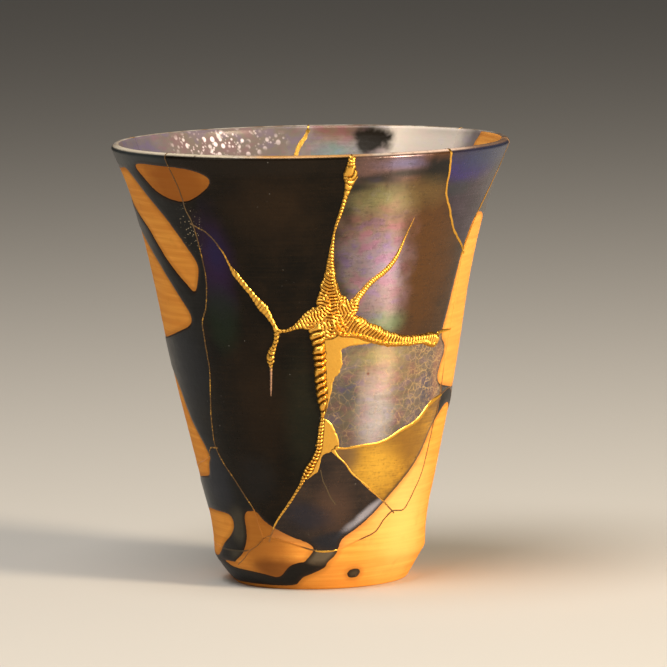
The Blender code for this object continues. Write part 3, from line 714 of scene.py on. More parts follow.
ARMS: dict[str, Arm] = {
    "rim_bulge": Arm(((11.6, 99.2, 1.7, 0.4), (11.5, 97.6, 1.9, 0.6), (11.5, 95.4, 3.2, 1),
        (11.1, 92.6, 1.9, 0.7), (10.6, 90.6, 1, 0.5)), Ribs(1.25, 0.42, 0.5, 0.3, 1.6, 0.2)),
    "rim_crack": Arm(((10.7, 91, 1, 0.5), (10.3, 89.5, 1, 0.5), (9.1, 86.3, 0.85, 0.42),
        (7.4, 82.1, 0.5, 0.32), (6.6, 77, 1.3, 0.5), (6.3, 72.5, 2.5, 0.75),
        (6.1, 69.5, 4.2, 0.95), (6.3, 66, 6.4, 1.05), (6.3, 62.8, 7.4, 1.05),
        (5.4, 60.8, 6, 0.9)), Ribs(slant=-0.22, stray=1, settled=True)),
    "side_ridge": Arm(((7, 75, 0.3, 0.3), (7.5, 72, 0.6, 0.9), (8.4, 69, 0.8, 1.2),
        (9.8, 66.6, 0.8, 1.25), (11.6, 65.2, 0.5, 1)), Ribs(1.3, 0.2, stray=0.8)),
    "fold_low": Arm(((7.2, 62.4, 0.4, 1), (7.7, 60.9, 0.75, 1.35), (9.4, 59.5, 0.5, 1.1)),
        Ribs(9, 0)),
    "fold_middle": Arm(((8.5, 62.8, 0.4, 1), (9.1, 61.2, 0.8, 1.4), (10.9, 59.9, 0.5, 1.1)),
        Ribs(9, 0)),
    "fold_high": Arm(((9.9, 63.1, 0.4, 1), (10.6, 61.7, 0.7, 1.35), (12.3, 60.5, 0.4, 1.1)),
        Ribs(9, 0)),
    "right_roll": Arm(((8.4, 59.5, 0.5, 0.9), (11.4, 58.9, 0.9, 1.2), (15, 58.8, 0.9, 1.25),
        (20.5, 57.8, 0.9, 1.25), (27.3, 56.5, 0.9, 1.2), (31.8, 56.1, 0.85, 1.15),
        (40.9, 55.8, 0.8, 1.05), (47, 55.8, 0.8, 1), (50, 55, 0.9, 1), (53, 54.9, 0.7, 0.9)),
        Ribs(0.95, 0.35, 0, 0.4, 0.7, 0.3)),
    "left_arm": Arm(((5.5, 63.6, 5, 1), (0, 62.9, 4.3, 0.9), (-2.6, 62, 3.3, 0.8),
        (-5, 61.4, 2, 0.65), (-7.7, 60.6, 1, 0.45), (-10.6, 60, 0.6, 0.34),
        (-13.6, 60, 1.2, 0.45)), Ribs(slant=0.35, stray=0.7, settled=True)),
    "upper_left_crack": Arm(((-13.4, 59.8, 1.2, 0.45), (-14.6, 61.6, 1, 0.45),
        (-16.4, 63.6, 1.5, 0.5), (-18.2, 65.4, 2, 0.6), (-20.5, 67.1, 1.5, 0.5),
        (-22.7, 69, 1.2, 0.42), (-25.2, 71, 1.35, 0.42), (-27.9, 73.3, 1.1, 0.34),
        (-29.2, 74.8, 0.45, 0.18), (-31.3, 77.9, 0.3, 0.1), (-33, 79.2, 0.1, 0.03)),
        Ribs(1.05, 0.35, 0, 0.5, 0.5, 0.2)),
    "tail": Arm(((-13.6, 60, 1.2, 0.45), (-14, 58.4, 1.1, 0.42), (-14.9, 56.8, 1.1, 0.42),
        (-16.2, 55.2, 1.7, 0.6), (-16.9, 53.9, 1.9, 0.65), (-17, 52.6, 1.3, 0.45),
        (-17.1, 51.6, 0.55, 0.26), (-17.4, 49.4, 0.45, 0.16), (-17.9, 47, 0.4, 0.1),
        (-18.2, 45.2, 0.15, 0.03)), Ribs(0.9, 0.45, 0.3, 0, 0.4, 0.22)),
    "hub_web": Arm(((7, 66.5, 4.6, 1), (10.5, 65.2, 5.4, 0.95), (13.6, 65, 3.8, 0.8),
        (16, 66.8, 1.7, 0.5)), Ribs(slant=0.5, settled=True)),
    "upper_right_arm": Arm(((14.6, 65.6, 1.9, 0.6), (16.2, 67, 1.6, 0.52),
        (18.2, 68.5, 1.35, 0.5), (20.5, 70.2, 1.25, 0.45), (22.7, 71.3, 1.1, 0.42),
        (25, 72.3, 1.2, 0.4), (27.3, 73.6, 1.2, 0.4), (29.5, 75.4, 1, 0.36),
        (31.1, 77.6, 0.7, 0.3), (32.4, 80.2, 0.42, 0.2), (33.6, 82.3, 0.24, 0.12),
        (35, 84.6, 0.1, 0.04)), Ribs(0.58, 0.42, 0, 0.2, 0.15, 0.12)),
    "right_arm": Arm(((7.5, 62.6, 4.6, 0.9), (11, 61.6, 5.8, 1), (15, 60.9, 5, 1),
        (18.6, 59.9, 4.5, 1), (25, 58.2, 3.9, 0.95), (29.5, 57.2, 3.4, 0.9),
        (34, 56.8, 2.8, 0.85), (40, 56.4, 2.3, 0.8), (45, 56.5, 2.2, 0.8), (49, 56.2, 3.2, 0.9),
        (52.5, 56, 3.7, 0.95), (54.2, 56.3, 2.4, 0.7), (55.2, 57.2, 0.9, 0.2),
        (59, 57.6, 0.6, 0.12), (65.2, 57.5, 0.3, 0.06)),
        Ribs(0.78, 0.4, 0, -0.35, 0.35, 0.2, True)),
    "spine": Arm(((1.9, 60.6, 3, 0.9), (1.4, 59.4, 3.6, 1.15), (1.8, 57, 2.8, 1.3),
        (2.1, 52, 2.7, 1.4), (2.3, 47.5, 2.7, 1.4), (2.7, 45, 2.5, 1.3), (2.8, 42.6, 1.7, 0.9),
        (2.9, 41, 1, 0.6)), Ribs(1.62, 0.6, 0, 0.35, 0.5, 0.42)),
    "beads": Arm(((2.9, 41.4, 0.9, 0.5), (2.5, 39.6, 1, 0.5), (1.9, 37.7, 1.2, 0.55),
        (1.2, 35, 1.3, 0.6), (0.7, 33.1, 1.4, 0.65), (-0.5, 31.4, 1.4, 0.7), (-2, 30, 1.5, 0.8),
        (-3.8, 28.5, 1.9, 0.95), (-5.2, 27.3, 1.6, 0.8), (-6.8, 26.1, 1.1, 0.5),
        (-8.6, 24.5, 0.75, 0.3), (-10.6, 23.1, 0.6, 0.2), (-13.3, 21.2, 0.5, 0.14),
        (-16.7, 19.2, 0.55, 0.12), (-20, 17.5, 0.5, 0.1), (-22.8, 15.8, 0.35, 0.08),
        (-24.2, 14.8, 0.1, 0.03)), Ribs(0.84, 0.66, 0.15, 0.2, 0.12, 0.25)),
    "amber_top": Arm(((8.6, 33.1, 0.9, 0.12), (9.7, 33, 0.5, 0.12), (12.8, 32.9, 0.42, 0.12),
        (17.2, 33.2, 0.5, 0.13), (22.2, 33.4, 0.55, 0.13), (26.7, 33.5, 0.7, 0.14),
        (31.1, 34, 0.75, 0.14), (38.9, 35.8, 0.8, 0.14), (48.9, 37.7, 0.9, 0.14),
        (57.2, 41.3, 1, 0.14), (65.2, 42.6, 0.6, 0.1)), Ribs(2.3, 0.1, stray=1)),
    "amber_bottom": Arm(((7.2, 32.4, 0.8, 0.12), (9.4, 31, 0.4, 0.11), (12.8, 29.3, 0.3, 0.1),
        (13.9, 28.5, 0.4, 0.1), (16.1, 27, 0.4, 0.1), (19.4, 25.6, 0.28, 0.09),
        (23.9, 23.9, 0.36, 0.1), (29.4, 21.5, 0.32, 0.09), (34.7, 19.6, 0.26, 0.06),
        (36.6, 19, 0.1, 0.03)), Ribs(1.9, 0.1, stray=1)),
    "low_line": Arm(((-3.2, 9.6, 0.2, 0.05), (-1.5, 9.4, 0.36, 0.1), (2.5, 9.2, 0.4, 0.1),
        (7, 9.3, 0.36, 0.1), (9.6, 9.5, 0.2, 0.05)), Ribs(0.8, 0.3, stray=1, bite=0.14)),
}

# Losses filled with lacquer, gilded flat
FLAT_GOLD: dict[str, Points] = {
    "fill_upper": [(1.6, 60.8), (6.8, 61.4), (10, 59), (17.3, 58.2), (24.6, 56.8), (19.5, 56.4),
        (15.9, 56.4), (12.7, 56.1), (10.2, 55.7), (10.6, 54.2), (11.1, 52.6), (10.5, 51.2),
        (9.1, 49.8), (7.9, 49.3), (6.9, 47.9), (6.7, 46.2), (5.9, 44.4), (5, 42.8), (4.3, 41.2),
        (3.2, 41.2), (2.6, 45), (2, 52)],
    "fill_lower": [(2.6, 40.2), (4.4, 39.8), (5.8, 39.2), (7.3, 38.1), (8.4, 36.5), (9.5, 35),
        (9.8, 33.7), (8.6, 32.8), (6.1, 32.2), (3.3, 31.8), (1.7, 30.9), (1.1, 29.4), (0.6, 28),
        (-1.1, 27.4), (-2.8, 26.8), (-5.6, 25.8), (-4, 28.6), (-1, 31.4), (1, 35)],
}


def settle_wrinkles(pattern: Array, on: Array, pitch: float, spacing: float, steps: int = 70,
                    pace: float = 0.5, growth: float = 0.6, full: float = 0.85) -> Array:
    """Let ribs relax into even folds that branch and join, as the skin of drying lacquer does.

    Args:
        pattern: ribs from -1 in a crease to 1 on a fold, on a square grid.
        on: where there is lacquer.
        pitch: the grid's spacing in millimetres.
        spacing: distance from fold to fold.
        steps: how long they relax.
        pace: how far they go in one step.
        growth: how strongly a small fold grows.
        full: the height that a fold settles at.

    Returns:
        The relaxed pattern from -1 to 1.
    """
    rows, columns = pattern.shape
    up, across = np.meshgrid(np.fft.fftfreq(rows, pitch), np.fft.fftfreq(columns, pitch),
                             indexing="ij")
    stiff = (1 - (up ** 2 + across ** 2) * spacing ** 2) ** 2
    folds = pattern * on
    for _ in range(steps):
        grown = folds + pace * (growth * folds - folds ** 3)
        folds = np.fft.ifft2(np.fft.fft2(grown) / (1 + pace * stiff)).real * on
    return np.clip(folds / full, -1.0, 1.0)


@dataclass
class GoldRelief:
    """The raised gold, laid over the joints as a fine height field and closed below."""

    wall: Wall
    glaze: GlazeMap
    pitch: float = 0.11
    dip: float = 0.22
    flank: float = 1.3
    fold_spacing: float = 0.72
    flat_height: float = 0.11
    fill_edge: float = 0.3
    sheet: float = 0.25
    walk_step: float = 0.5
    margin: float = 0.6
    least_radius: float = 24.0
    squareness: float = 2.4
    fullness: float = 0.55
    stray_pitch: float = 1.9
    uneven: float = 0.12
    uneven_pitch: float = 0.9
    lumps: float = 0.14
    lump_pitch: float = 1.3
    waves: float = 0.25
    wave_pitch: float = 2.5
    ragged: float = 0.12
    ragged_pitch: float = 0.6
    sharp: float = 80.0
    grain: Grain = field(default_factory=lambda: Grain(seed=5))

    def arm_shape(self, arm: Arm, arc: Array, height: Array) -> tuple[Array, Array, Array]:
        """How an arm stands at flat places.

        Args:
            arm: the arm.
            arc: the places' way round, in millimetres.
            height: the places' heights.

        Returns:
            Its smooth height over the wall, negative outside it, its ribs from -1 to 1, and how
            near its edge each place is.
        """
        line = arm.walk(self.wall, self.walk_step)
        flat = self.wall.arc(line[:, 0], line[:, 1]) + 1j * line[:, 1]
        run = np.diff(flat)
        length = np.abs(run)
        along = np.concatenate([[0.0], np.cumsum(length)])
        out = []
        spots = arc + 1j * height
        for chunk in np.array_split(spots, max(1, len(spots) // CHUNK)):
            away = chunk[:, None] - flat[:-1]
            part = np.clip((away * np.conj(run)).real / length ** 2, 0.0, 1.0)
            distance = np.abs(away - part * run)
            nearest = distance.argmin(1)
            pick = (np.arange(len(chunk)), nearest)
            share = part[pick]
            side = np.sign((np.conj(run[nearest]) * away[pick]).imag)
            mixed = share[:, None]
            values = line[nearest, 2:] * (1 - mixed) + line[nearest + 1, 2:] * mixed
            out.append(np.column_stack([along[nearest] + share * length[nearest],
                                        side * distance[pick], values]))
        way, across, width, crown = np.concatenate(out).T
        ribs = arm.ribs
        stray = ribs.stray * self.grain.at(arc, height, self.stray_pitch)
        phase = (way + stray + ribs.chevron * np.abs(across) + ribs.slant * across) / ribs.spacing
        half = width / 2 * (1 + self.uneven * self.grain.at(arc, height, self.uneven_pitch))
        reach = np.abs(across) / np.maximum(half, 0.01)
        dome = np.maximum(1 - reach ** self.squareness, 0.0) ** self.fullness
        lumps = 1 + self.lumps * self.grain.at(arc + 40.0, height, self.lump_pitch)
        stand = np.where(reach < 1, crown * dome * lumps, self.flank * (half - np.abs(across)))
        edge = smooth_step(0.55, 1.05, reach) * np.clip(crown / 0.7, 0.0, 1.0) ** 1.5
        return stand, np.cos(math.tau * phase), edge

    def shape(self, turn: Array, height: Array) -> tuple[Array, Array]:
        """The height of all the gold over the wall, and painted shade: darker in the creases of
        the raised gold and on the flat gold at the foot of the raised arms.
        """
        arc = self.wall.arc(turn, height)
        stand = np.full(arc.shape, -1.0)
        ribs, edge, depth, bite, settled = (np.zeros(arc.shape) for _ in range(5))
        for arm in ARMS.values():
            line = arm.walk(self.wall, 4 * self.walk_step)
            low, high = line.min(0), line.max(0)
            margin = line[:, 2].max() / 2 + self.margin
            round_margin = math.degrees(margin / self.least_radius)
            near = ((turn > low[0] - round_margin) & (turn < high[0] + round_margin)
                    & (height > low[1] - margin) & (height < high[1] + margin))
            if not near.any():
                continue
            rise, pattern, brink = self.arm_shape(arm, arc[near], height[near])
            wins = rise > stand[near]
            spot = tuple(index[wins] for index in np.nonzero(near))
            stand[spot], ribs[spot], edge[spot] = rise[wins], pattern[wins], brink[wins]
            depth[spot], bite[spot] = arm.ribs.depth, arm.ribs.bite
            settled[spot] = arm.ribs.settled
        relaxed = settle_wrinkles(ribs, (stand > -0.1) * settled, self.pitch, self.fold_spacing)
        ribs = np.where(settled > 0.5, relaxed, ribs)
        crease = 1 - np.sqrt(np.clip((ribs + 1) / 2, 0.0, 1.0))
        raised = stand * (1 - depth * crease) - bite * edge * crease
        raised = np.where(stand > 0, raised, stand - bite * edge * crease)
        flat = np.full(arc.shape, -1.0)
        ragged = self.ragged * self.grain.at(arc, height, self.ragged_pitch)
        waves = 1 + self.waves * self.grain.at(arc, height, self.wave_pitch)
        for points in FLAT_GOLD.values():
            inside = Outline(self.wall, points, cuts=1).depth(turn, height) + ragged
            level = self.flat_height * waves * smooth_step(-0.02, self.fill_edge, inside)
            flat = np.maximum(flat, np.where(inside > 0, level, self.flank * inside))
        # Painted shade: the gold is darkened in the creases between its ribs and on the flat gold
        # just beside the raised arms
        crease_shade = crease * smooth_step(0.15, 0.5, depth) * (raised > flat)
        beside = smooth_step(-0.5, -0.02, stand) * (raised < flat)
        return np.maximum(raised, flat), np.maximum(crease_shade, beside * 0.8)

    def build(self, name: str, turns: tuple[float, float],
              heights: tuple[float, float]) -> Piece:
        """Model the gold in a window of the wall.

        Args:
            name: the piece's name.
            turns: the window's lowest and highest turn.
            heights: its lowest and highest height.

        Returns:
            A closed piece that dips under the glaze all round its edge.
        """
        rows = np.arange(heights[0], heights[1] + self.pitch, self.pitch)
        middle = float(self.wall.outer(sum(heights) / 2))
        step = math.degrees(self.pitch / middle)
        columns = np.arange(turns[0], turns[1] + step, step)
        turn, height = np.meshgrid(columns, rows)
        over, crease = self.shape(turn, height)
        radius = self.glaze.skin(turn, height) + np.maximum(over, -self.dip)
        piece = Bench.sheet(name, on_wall(turn, radius, height))
        # The painted shade of the creases and of the arms' feet is stored as the crease field for
        # the finish
        write_field(piece, "crease", crease.ravel())
        Bench.keep_points(piece, over.ravel() > -self.dip)
        Bench.thicken(piece, self.sheet, offset=-1.0)
        self.wall.settle(piece)
        Bench.smooth(piece, self.sharp)
        return piece


# --- sherds and lacquer lines ---


def joint_slab(wall: Wall, name: str, route: Route, width: float, inside: float = THROUGH,
               outside: float = BEYOND, grain: Grain | None = None) -> Piece:
    """Stand a thin slab along a route, through the wall.

    Args:
        wall: the form.
        name: the slab's name.
        route: the slab's way.
        width: its thickness in millimetres.
        inside: how far in from the outer wall it starts, in millimetres.
        outside: how far out it ends.
        grain: unevenness of its faces.

    Returns:
        A closed slab.
    """
    line = route.walk(wall, SLAB_STEP)
    radius = wall.outer(np.minimum(line[:, 1], wall.lip_centre))
    rows = [on_wall(line[:, 0], radius + depth, line[:, 1]) for depth in (-inside, outside)]
    slab = Bench.sheet(name, np.stack(rows))
    if route.closed:
        Bench.modify(slab, "WELD", merge_threshold=0.01 * MM)
    Bench.thicken(slab, width)
    if grain is not None:
        spots = read_points(slab)
        write_points(slab, spots + grain_shift(grain, spots, UNEVEN_SHARE * width))
    return slab


def grain_shift(grain: Grain, spots: Array, most: float) -> Array:
    """Small shifts up and round the wall that make a line's width uneven."""
    turn = np.arctan2(spots[:, 0], -spots[:, 1])
    arc, height = turn * MEAN_RADIUS, spots[:, 2] / MM
    side = grain.at(arc * 1.7 + height * 0.9, height * 1.7 - arc, 1.1) * most * MM
    lift = grain.at(arc - 60.0, height, 1.2) * most * MM
    return np.stack([side * np.cos(turn), side * np.sin(turn), lift], -1)


@dataclass
class CupBody:
    """The thrown cup, broken along its joints into glazed sherds."""

    wall: Wall
    glaze: GlazeMap
    segments: int = 440
    outer_step: float = 0.55
    inner_step: float = 1.5
    joint: float = 0.3
    skin_gap: float = 0.02
    floor_edge: tuple[float, float] = (0.3, 0.6)

    def __post_init__(self) -> None:
        """Throw the whole cup, with the relief of its clay and glaze."""
        self.whole = Bench.turned("whole_cup", self.wall.section(self.outer_step, self.inner_step),
                                  self.segments)
        spots = read_points(self.whole)
        turn, height, radius = cylinder(spots)
        shown = (np.abs(radius - self.wall.outer(height)) < self.skin_gap) & (height > 0.3)
        out = radius.copy()
        out[shown] = self.glaze.skin(turn[shown], height[shown])
        spots[:, :2] *= (out / np.maximum(radius, 1e-6))[:, None]
        write_points(self.whole, spots)

    def copy(self, name: str, swell: float = 0.0) -> Piece:
        """Copy the whole cup.

        Args:
            name: the copy's name.
            swell: how much further out every surface lies, in millimetres.

        Returns:
            The closed copy.
        """
        cup = self.whole.copy()
        cup.data = self.whole.data.copy()
        cup.name = cup.data.name = name
        bpy.context.collection.objects.link(cup)
        if swell:
            outwards = np.zeros(len(cup.data.vertices) * 3)
            cup.data.vertex_normals.foreach_get("vector", outwards)
            write_points(cup, read_points(cup) + outwards.reshape(-1, 3) * swell * MM)
        return cup

    def sherds(self) -> dict[str, Piece]:
        """Cut the cup along its joints and name the sherds by a place on each."""
        cup = self.copy("cup")
        for name, joint in JOINTS.items():
            slab = joint_slab(self.wall, name, joint, self.joint)
            Bench.combine(cup, slab, "DIFFERENCE")
        parts = Bench.loose_parts(cup)
        sherds = {}
        for name, (turn, height) in SHERD_MARKS.items():
            mark = Vector(on_wall(np.array(turn), self.wall.outer(height) + 0.1, height))
            part = min(parts, key=lambda item: gap_to(item, mark))
            parts.remove(part)
            part.name = part.data.name = name + "_glazed"
            sherds[name] = part
        for part in parts:
            LOG.info("crumb of %d faces left out", len(part.data.polygons))
            bpy.data.objects.remove(part)
        return sherds

    def mark_surface(self, sherd: Piece) -> None:
        """Store how far into bare clay each vertex is and whether it faces into the cup."""
        turn, height, radius = cylinder(read_points(sherd))
        middle = (self.wall.outer(height) + self.wall.inner(height)) / 2
        floor, (below, above) = self.wall.floor_top, self.floor_edge
        inner = np.where(height < floor + above, height > floor - below, radius < middle)
        inner = inner & (radius < self.wall.outer(height) - 1.0)
        clay = np.where(inner, self.glaze.within.at(turn, height),
                        self.glaze.outside.at(turn, height))
        write_field(sherd, "clay", clay)
        write_field(sherd, "inner", inner)


def cylinder(spots: Array) -> tuple[Array, Array, Array]:
    """Turn in degrees, height and radius in millimetres of points in metres."""
    turn = np.degrees(np.arctan2(spots[:, 0], -spots[:, 1]))
    return turn, spots[:, 2] / MM, np.hypot(spots[:, 0], spots[:, 1]) / MM


def gap_to(piece: Piece, mark: Vector) -> float:
    """How far a place is from a piece."""
    found, spot, _, _ = piece.closest_point_on_mesh(mark)
    return (spot - mark).length if found else math.inf


SHERD_MARKS: dict[str, tuple[float, float]] = {
    "sherd_base": (90, 20), "sherd_front": (-30, 45), "sherd_upper_left": (-20, 85),
    "sherd_upper_right": (30, 88), "sherd_rim_blue": (62, 92), "sherd_crackled": (30, 46),
    "sherd_amber": (35, 28), "sherd_lower_centre": (10, 20), "sherd_left_side": (-75, 60),
    "sherd_lower_left": (-65, 20), "sherd_right_side": (95, 60), "sherd_back_right": (150, 60),
    "sherd_back_left": (215, 60),
}

# Cracks that don't part the cup: brown lines in the clay and hairs in the glaze
HAIRLINES: dict[str, Route] = {
    "clay_crack_left": Route(((-23.6, 15), (-26.3, 12.9), (-30, 12.4), (-36.3, 10.2), (-40, 9.4),
        (-46.7, 6.9), (-52.5, 5.6))),
    "clay_crack_branch": Route(((40.6, 17.2), (36.1, 15.8), (33.3, 14.2), (30.6, 12.9),
        (25, 11.9), (21.8, 11.4))),
    "low_hair": Route(((1.3, 28.2), (2.2, 25.8), (3.9, 23.8), (5.6, 21.9), (8.3, 20))),
    "side_crack": Route(((63.2, 45.4), (64, 42.5), (64.6, 38.2))),
}


@dataclass
class LacquerLines:
    """The flat lacquer: the joints filled through the wall and the narrow lines over them."""

    wall: Wall
    body: CupBody
    proud: float = 0.05
    seam: float = 0.34
    line_depth: float = 0.8
    inner_reach: float = -2.2
    hair: float = 0.20
    hair_depth: float = 0.4
    sharp: float = 35.0
    grain: Grain = field(default_factory=lambda: Grain(seed=3))

    def slab(self, name: str, route: Route, width: float, inside: float = THROUGH,
             outside: float = BEYOND) -> Piece:
        """Stand an uneven slab along a route."""
        return joint_slab(self.wall, name, route, width, inside, outside, self.grain)

    def build(self, lacquer: Lacquer) -> Piece:
        """Model every joint with one finish as one closed piece that follows the wall."""
        seam = self.seam if lacquer is Lacquer.GILT else self.body.joint
        slabs = []
        for key, joint in JOINTS.items():
            if joint.lacquer is lacquer:
                slabs.append(self.slab(key, joint, seam))
                if joint.line_width:
                    slabs.append(self.slab(key, joint, joint.line_width, self.line_depth))
                if joint.inner_width:
                    slabs.append(self.slab(key, joint, joint.inner_width,
                                           outside=self.inner_reach))
        return self.trim("lacquer_" + lacquer.name.lower(), slabs)

    def hairs(self) -> Piece:
        """Model the cracks that don't part the cup, as narrow closed lines in its skin."""
        return self.trim("lacquer_hairs", [self.slab(key, route, self.hair, self.hair_depth)
                                           for key, route in HAIRLINES.items()])

    def trim(self, name: str, slabs: list[Piece]) -> Piece:
        """Join slabs and trim them to the wall."""
        lines = slabs[0]
        for slab in slabs[1:]:
            Bench.combine(lines, slab, "UNION")
        Bench.combine(lines, self.body.copy(name + "_skin", self.proud), "INTERSECT")
        lines.name = lines.data.name = name
        turn, height, radius = cylinder(read_points(lines))
        write_field(lines, "inner", radius < self.wall.outer(height) - self.wall.lip)
        self.wall.settle(lines)
        Bench.smooth(lines, self.sharp)
        return lines


# --- finishes ---


class Wire:
    """A shader value that can be written in sums."""

    def __init__(self, board: Board, socket: Any) -> None:
        """Hold the board and a socket of one of its nodes."""
        self.board = board
        self.socket = socket

    def maths(self, operation: str, *others: Any) -> Wire:
        """Combine this value with others by a Math node."""
        return self.board.maths(operation, self, *others)

    def __add__(self, other: Any) -> Wire:
        """Add a value."""
        return self.maths("ADD", other)

    def __sub__(self, other: Any) -> Wire:
        """Take a value away."""
        return self.maths("SUBTRACT", other)

    def __rsub__(self, other: float) -> Wire:
        """Take this value away from a number."""
        return self.board.maths("SUBTRACT", other, self)

    def __mul__(self, other: Any) -> Wire:
        """Multiply by a value."""
        return self.maths("MULTIPLY", other)

    def __truediv__(self, other: Any) -> Wire:
        """Divide by a value."""
        return self.maths("DIVIDE", other)

    def __neg__(self) -> Wire:
        """Turn this value's sign round."""
        return self * -1.0

    __radd__ = __add__
    __rmul__ = __mul__

    def step(self, low: float, high: float) -> Wire:
        """Rise smoothly from 0 at low to 1 at high, or fall where high is the lower."""
        rising = low < high
        node = self.board.node("ShaderNodeMapRange", {
            "Value": self, "From Min": min(low, high), "From Max": max(low, high),
            "To Min": 0.0 if rising else 1.0, "To Max": 1.0 if rising else 0.0,
        }, interpolation_type="SMOOTHSTEP")
        return Wire(self.board, node.outputs["Result"])

    def clamped(self) -> Wire:
        """Keep this value between 0 and 1."""
        return Wire(self.board, self.board.node("ShaderNodeClamp", {"Value": self}).outputs[0])


class Board:
    """A material's nodes, added through one method."""

    def __init__(self, name: str) -> None:
        """Start a material with a Principled shader."""
        self.material = bpy.data.materials.new(name)
        self.material.use_nodes = True
        self.tree = self.material.node_tree
        self.shader = self.tree.nodes["Principled BSDF"]
        spot = self.node("ShaderNodeTexCoord").outputs["Object"]
        scaled = self.node("ShaderNodeVectorMath", {0: spot, "Scale": 1 / MM}, operation="SCALE")
        self.place = Wire(self, scaled.outputs[0])
        parts = self.node("ShaderNodeSeparateXYZ", {0: self.place})
        self.x, self.y, self.z = (Wire(self, parts.outputs[axis]) for axis in "XYZ")
        self.turn = self.x.maths("ARCTAN2", -self.y) * (180 / math.pi)

    def join(self, socket: Any, value: Any) -> None:
        """Feed an input from a Wire or a socket, or set it to a plain value."""
        value = value.socket if isinstance(value, Wire) else value
        if isinstance(value, bpy.types.NodeSocket):
            self.tree.links.new(value, socket)
        else:
            socket.default_value = (*value, 1.0) if socket.type == "RGBA" else value

    def node(self, kind: str, sockets: dict[Any, Any] | None = None, **settings: Any) -> Any:
        """Add a node, set it and join its inputs.

        Args:
            kind: the node's type.
            sockets: inputs by name or number, each a Wire, a socket or a plain value.
            settings: the node's own settings.

        Returns:
            The node.
        """
        made = self.tree.nodes.new(kind)
        for name, value in settings.items():
            setattr(made, name, value)
        for key, value in (sockets or {}).items():
            self.join(made.inputs[key], value)
        return made

    def maths(self, operation: str, *values: Any) -> Wire:
        """Combine values by a Math node."""
        made = self.node("ShaderNodeMath", dict(enumerate(values)), operation=operation)
        return Wire(self, made.outputs[0])

    def mix(self, first: Any, second: Any, share: Any) -> Wire:
        """Mix two colours."""
        made = self.node("ShaderNodeMix", {0: share, 6: first, 7: second}, data_type="RGBA")
        return Wire(self, made.outputs[2])

    def blend(self, first: Any, second: Any, share: Any) -> Any:
        """Mix two numbers, each a Wire or plain."""
        return (second - first) * share + first

    def stretched(self, across: float, up: float) -> Wire:
        """The place in millimetres with its plan and its height scaled."""
        made = self.node("ShaderNodeVectorMath", {0: self.place, 1: (across, across, up)},
                         operation="MULTIPLY")
        return Wire(self, made.outputs[0])

    def noise(self, scale: float, detail: float = 2.0, at: Wire | None = None) -> Wire:
        """Cloudy noise from about -1 to 1, with lumps 1 / scale millimetres apart."""
        made = self.node("ShaderNodeTexNoise", {"Vector": at or self.place, "Scale": scale,
                                                "Detail": detail})
        return (Wire(self, made.outputs[0]) - 0.5) * 2.0

    def cells(self, scale: float, feature: str = "F1", at: Wire | None = None) -> Wire:
        """The distance to the middles, or to the edges, of scattered cells."""
        made = self.node("ShaderNodeTexVoronoi", {"Vector": at or self.place, "Scale": scale},
                         feature=feature)
        return Wire(self, made.outputs["Distance"])

    def field(self, name: str) -> Wire:
        """A number stored on the mesh."""
        return Wire(self, self.node("ShaderNodeAttribute", attribute_name=name).outputs["Fac"])

    def patch(self, patch: Patch, wander: Wire) -> Wire:
        """How strongly a soft patch covers each place."""
        lean = (self.z - patch.height) * patch.lean
        across = (self.turn - patch.turn - lean) / patch.half_turn
        up = (self.z - patch.height) / patch.half_height
        far = (across * across + up * up).maths("SQRT") + wander * patch.wander
        return far.step(1.0 + patch.soft, 1.0 - patch.soft) * patch.strength

    def paint(self, colour: Any, patches: Iterable[Patch], wander: Wire) -> Any:
        """Lay soft patches over a colour, one after another."""
        for patch in patches:
            colour = self.mix(colour, patch.colour, self.patch(patch, wander))
        return colour

    def finish(self, sockets: dict[str, Any], relief: Wire) -> bpy.types.Material:
        """Join the shader's inputs, with a relief in millimetres as its bump."""
        bump = self.node("ShaderNodeBump", {"Height": relief, "Distance": MM, "Strength": 1.0})
        for name, value in {**sockets, "Normal": bump.outputs[0]}.items():
            self.join(self.shader.inputs[name], value)
        return self.material


@dataclass(frozen=True)
class Patch:
    """A soft oval of another colour on the wall."""

    turn: float
    height: float
    half_turn: float
    half_height: float
    colour: Colour
    strength: float = 0.8
    soft: float = 0.35
    wander: float = 0.3
    lean: float = 0.0


@dataclass(frozen=True)
class Crackle:
    """Fine crazing in a glaze with gold rubbed into it."""

    colour: Colour = (0.66, 0.44, 0.19)
    pitch: float = 2.0
    finer: float = 2.1
    width: float = 0.042
    dense_from: float = 33.0


@dataclass(frozen=True)
class Glaze:
    """A fired glaze: its colours from deep to thin, its lustre and its patches."""

    deep: Colour
    thin: Colour
    metallic: float = 0.55
    roughness: float = 0.28
    coat: float = 0.3
    specular: float = 0.5
    mottle: float = 0.15
    film: Patch | None = None
    edge: Colour = (0.020, 0.010, 0.005)
    edge_share: float = 0.75
    patches: tuple[Patch, ...] = ()
    crackle: Crackle | None = None
    specks: Colour = (0.30, 0.28, 0.26)
    flecks: Patch | None = None


CLAY = (0.74, 0.275, 0.038)
CLAY_PALE = (0.97, 0.46, 0.080)
CLAY_DARK = (0.34, 0.105, 0.014)
CLAY_TOASTED = (0.50, 0.175, 0.023)
# Clay tones: paler at the right of the foot, a painted pool of the warm light there; darker at the
# left of the foot and on the patch at the upper left; darkest at the bottom left of the foot,
# painted shade
CLAY_TONES_AND_PAINTED_LIGHT = (
    Patch(50, 15, 18, 11, (1, 0.6, 0.19), 0.55, 0.95),
    Patch(-32, 11, 15, 8, (0.38, 0.125, 0.016), 0.75, 0.5),
    Patch(-45, 93, 14, 8, (0.31, 0.088, 0.01), 0.85, 0.5),
    Patch(-24, 5, 15, 2.6, (0.2, 0.06, 0.008), 0.75, 0.5),
)

# The hues of a thin film, by its thickness
FILM_ROSE = (0.42, 0.15, 0.20)
FILM_GREEN = (0.24, 0.27, 0.14)
FILM_BLUE = (0.20, 0.17, 0.44)
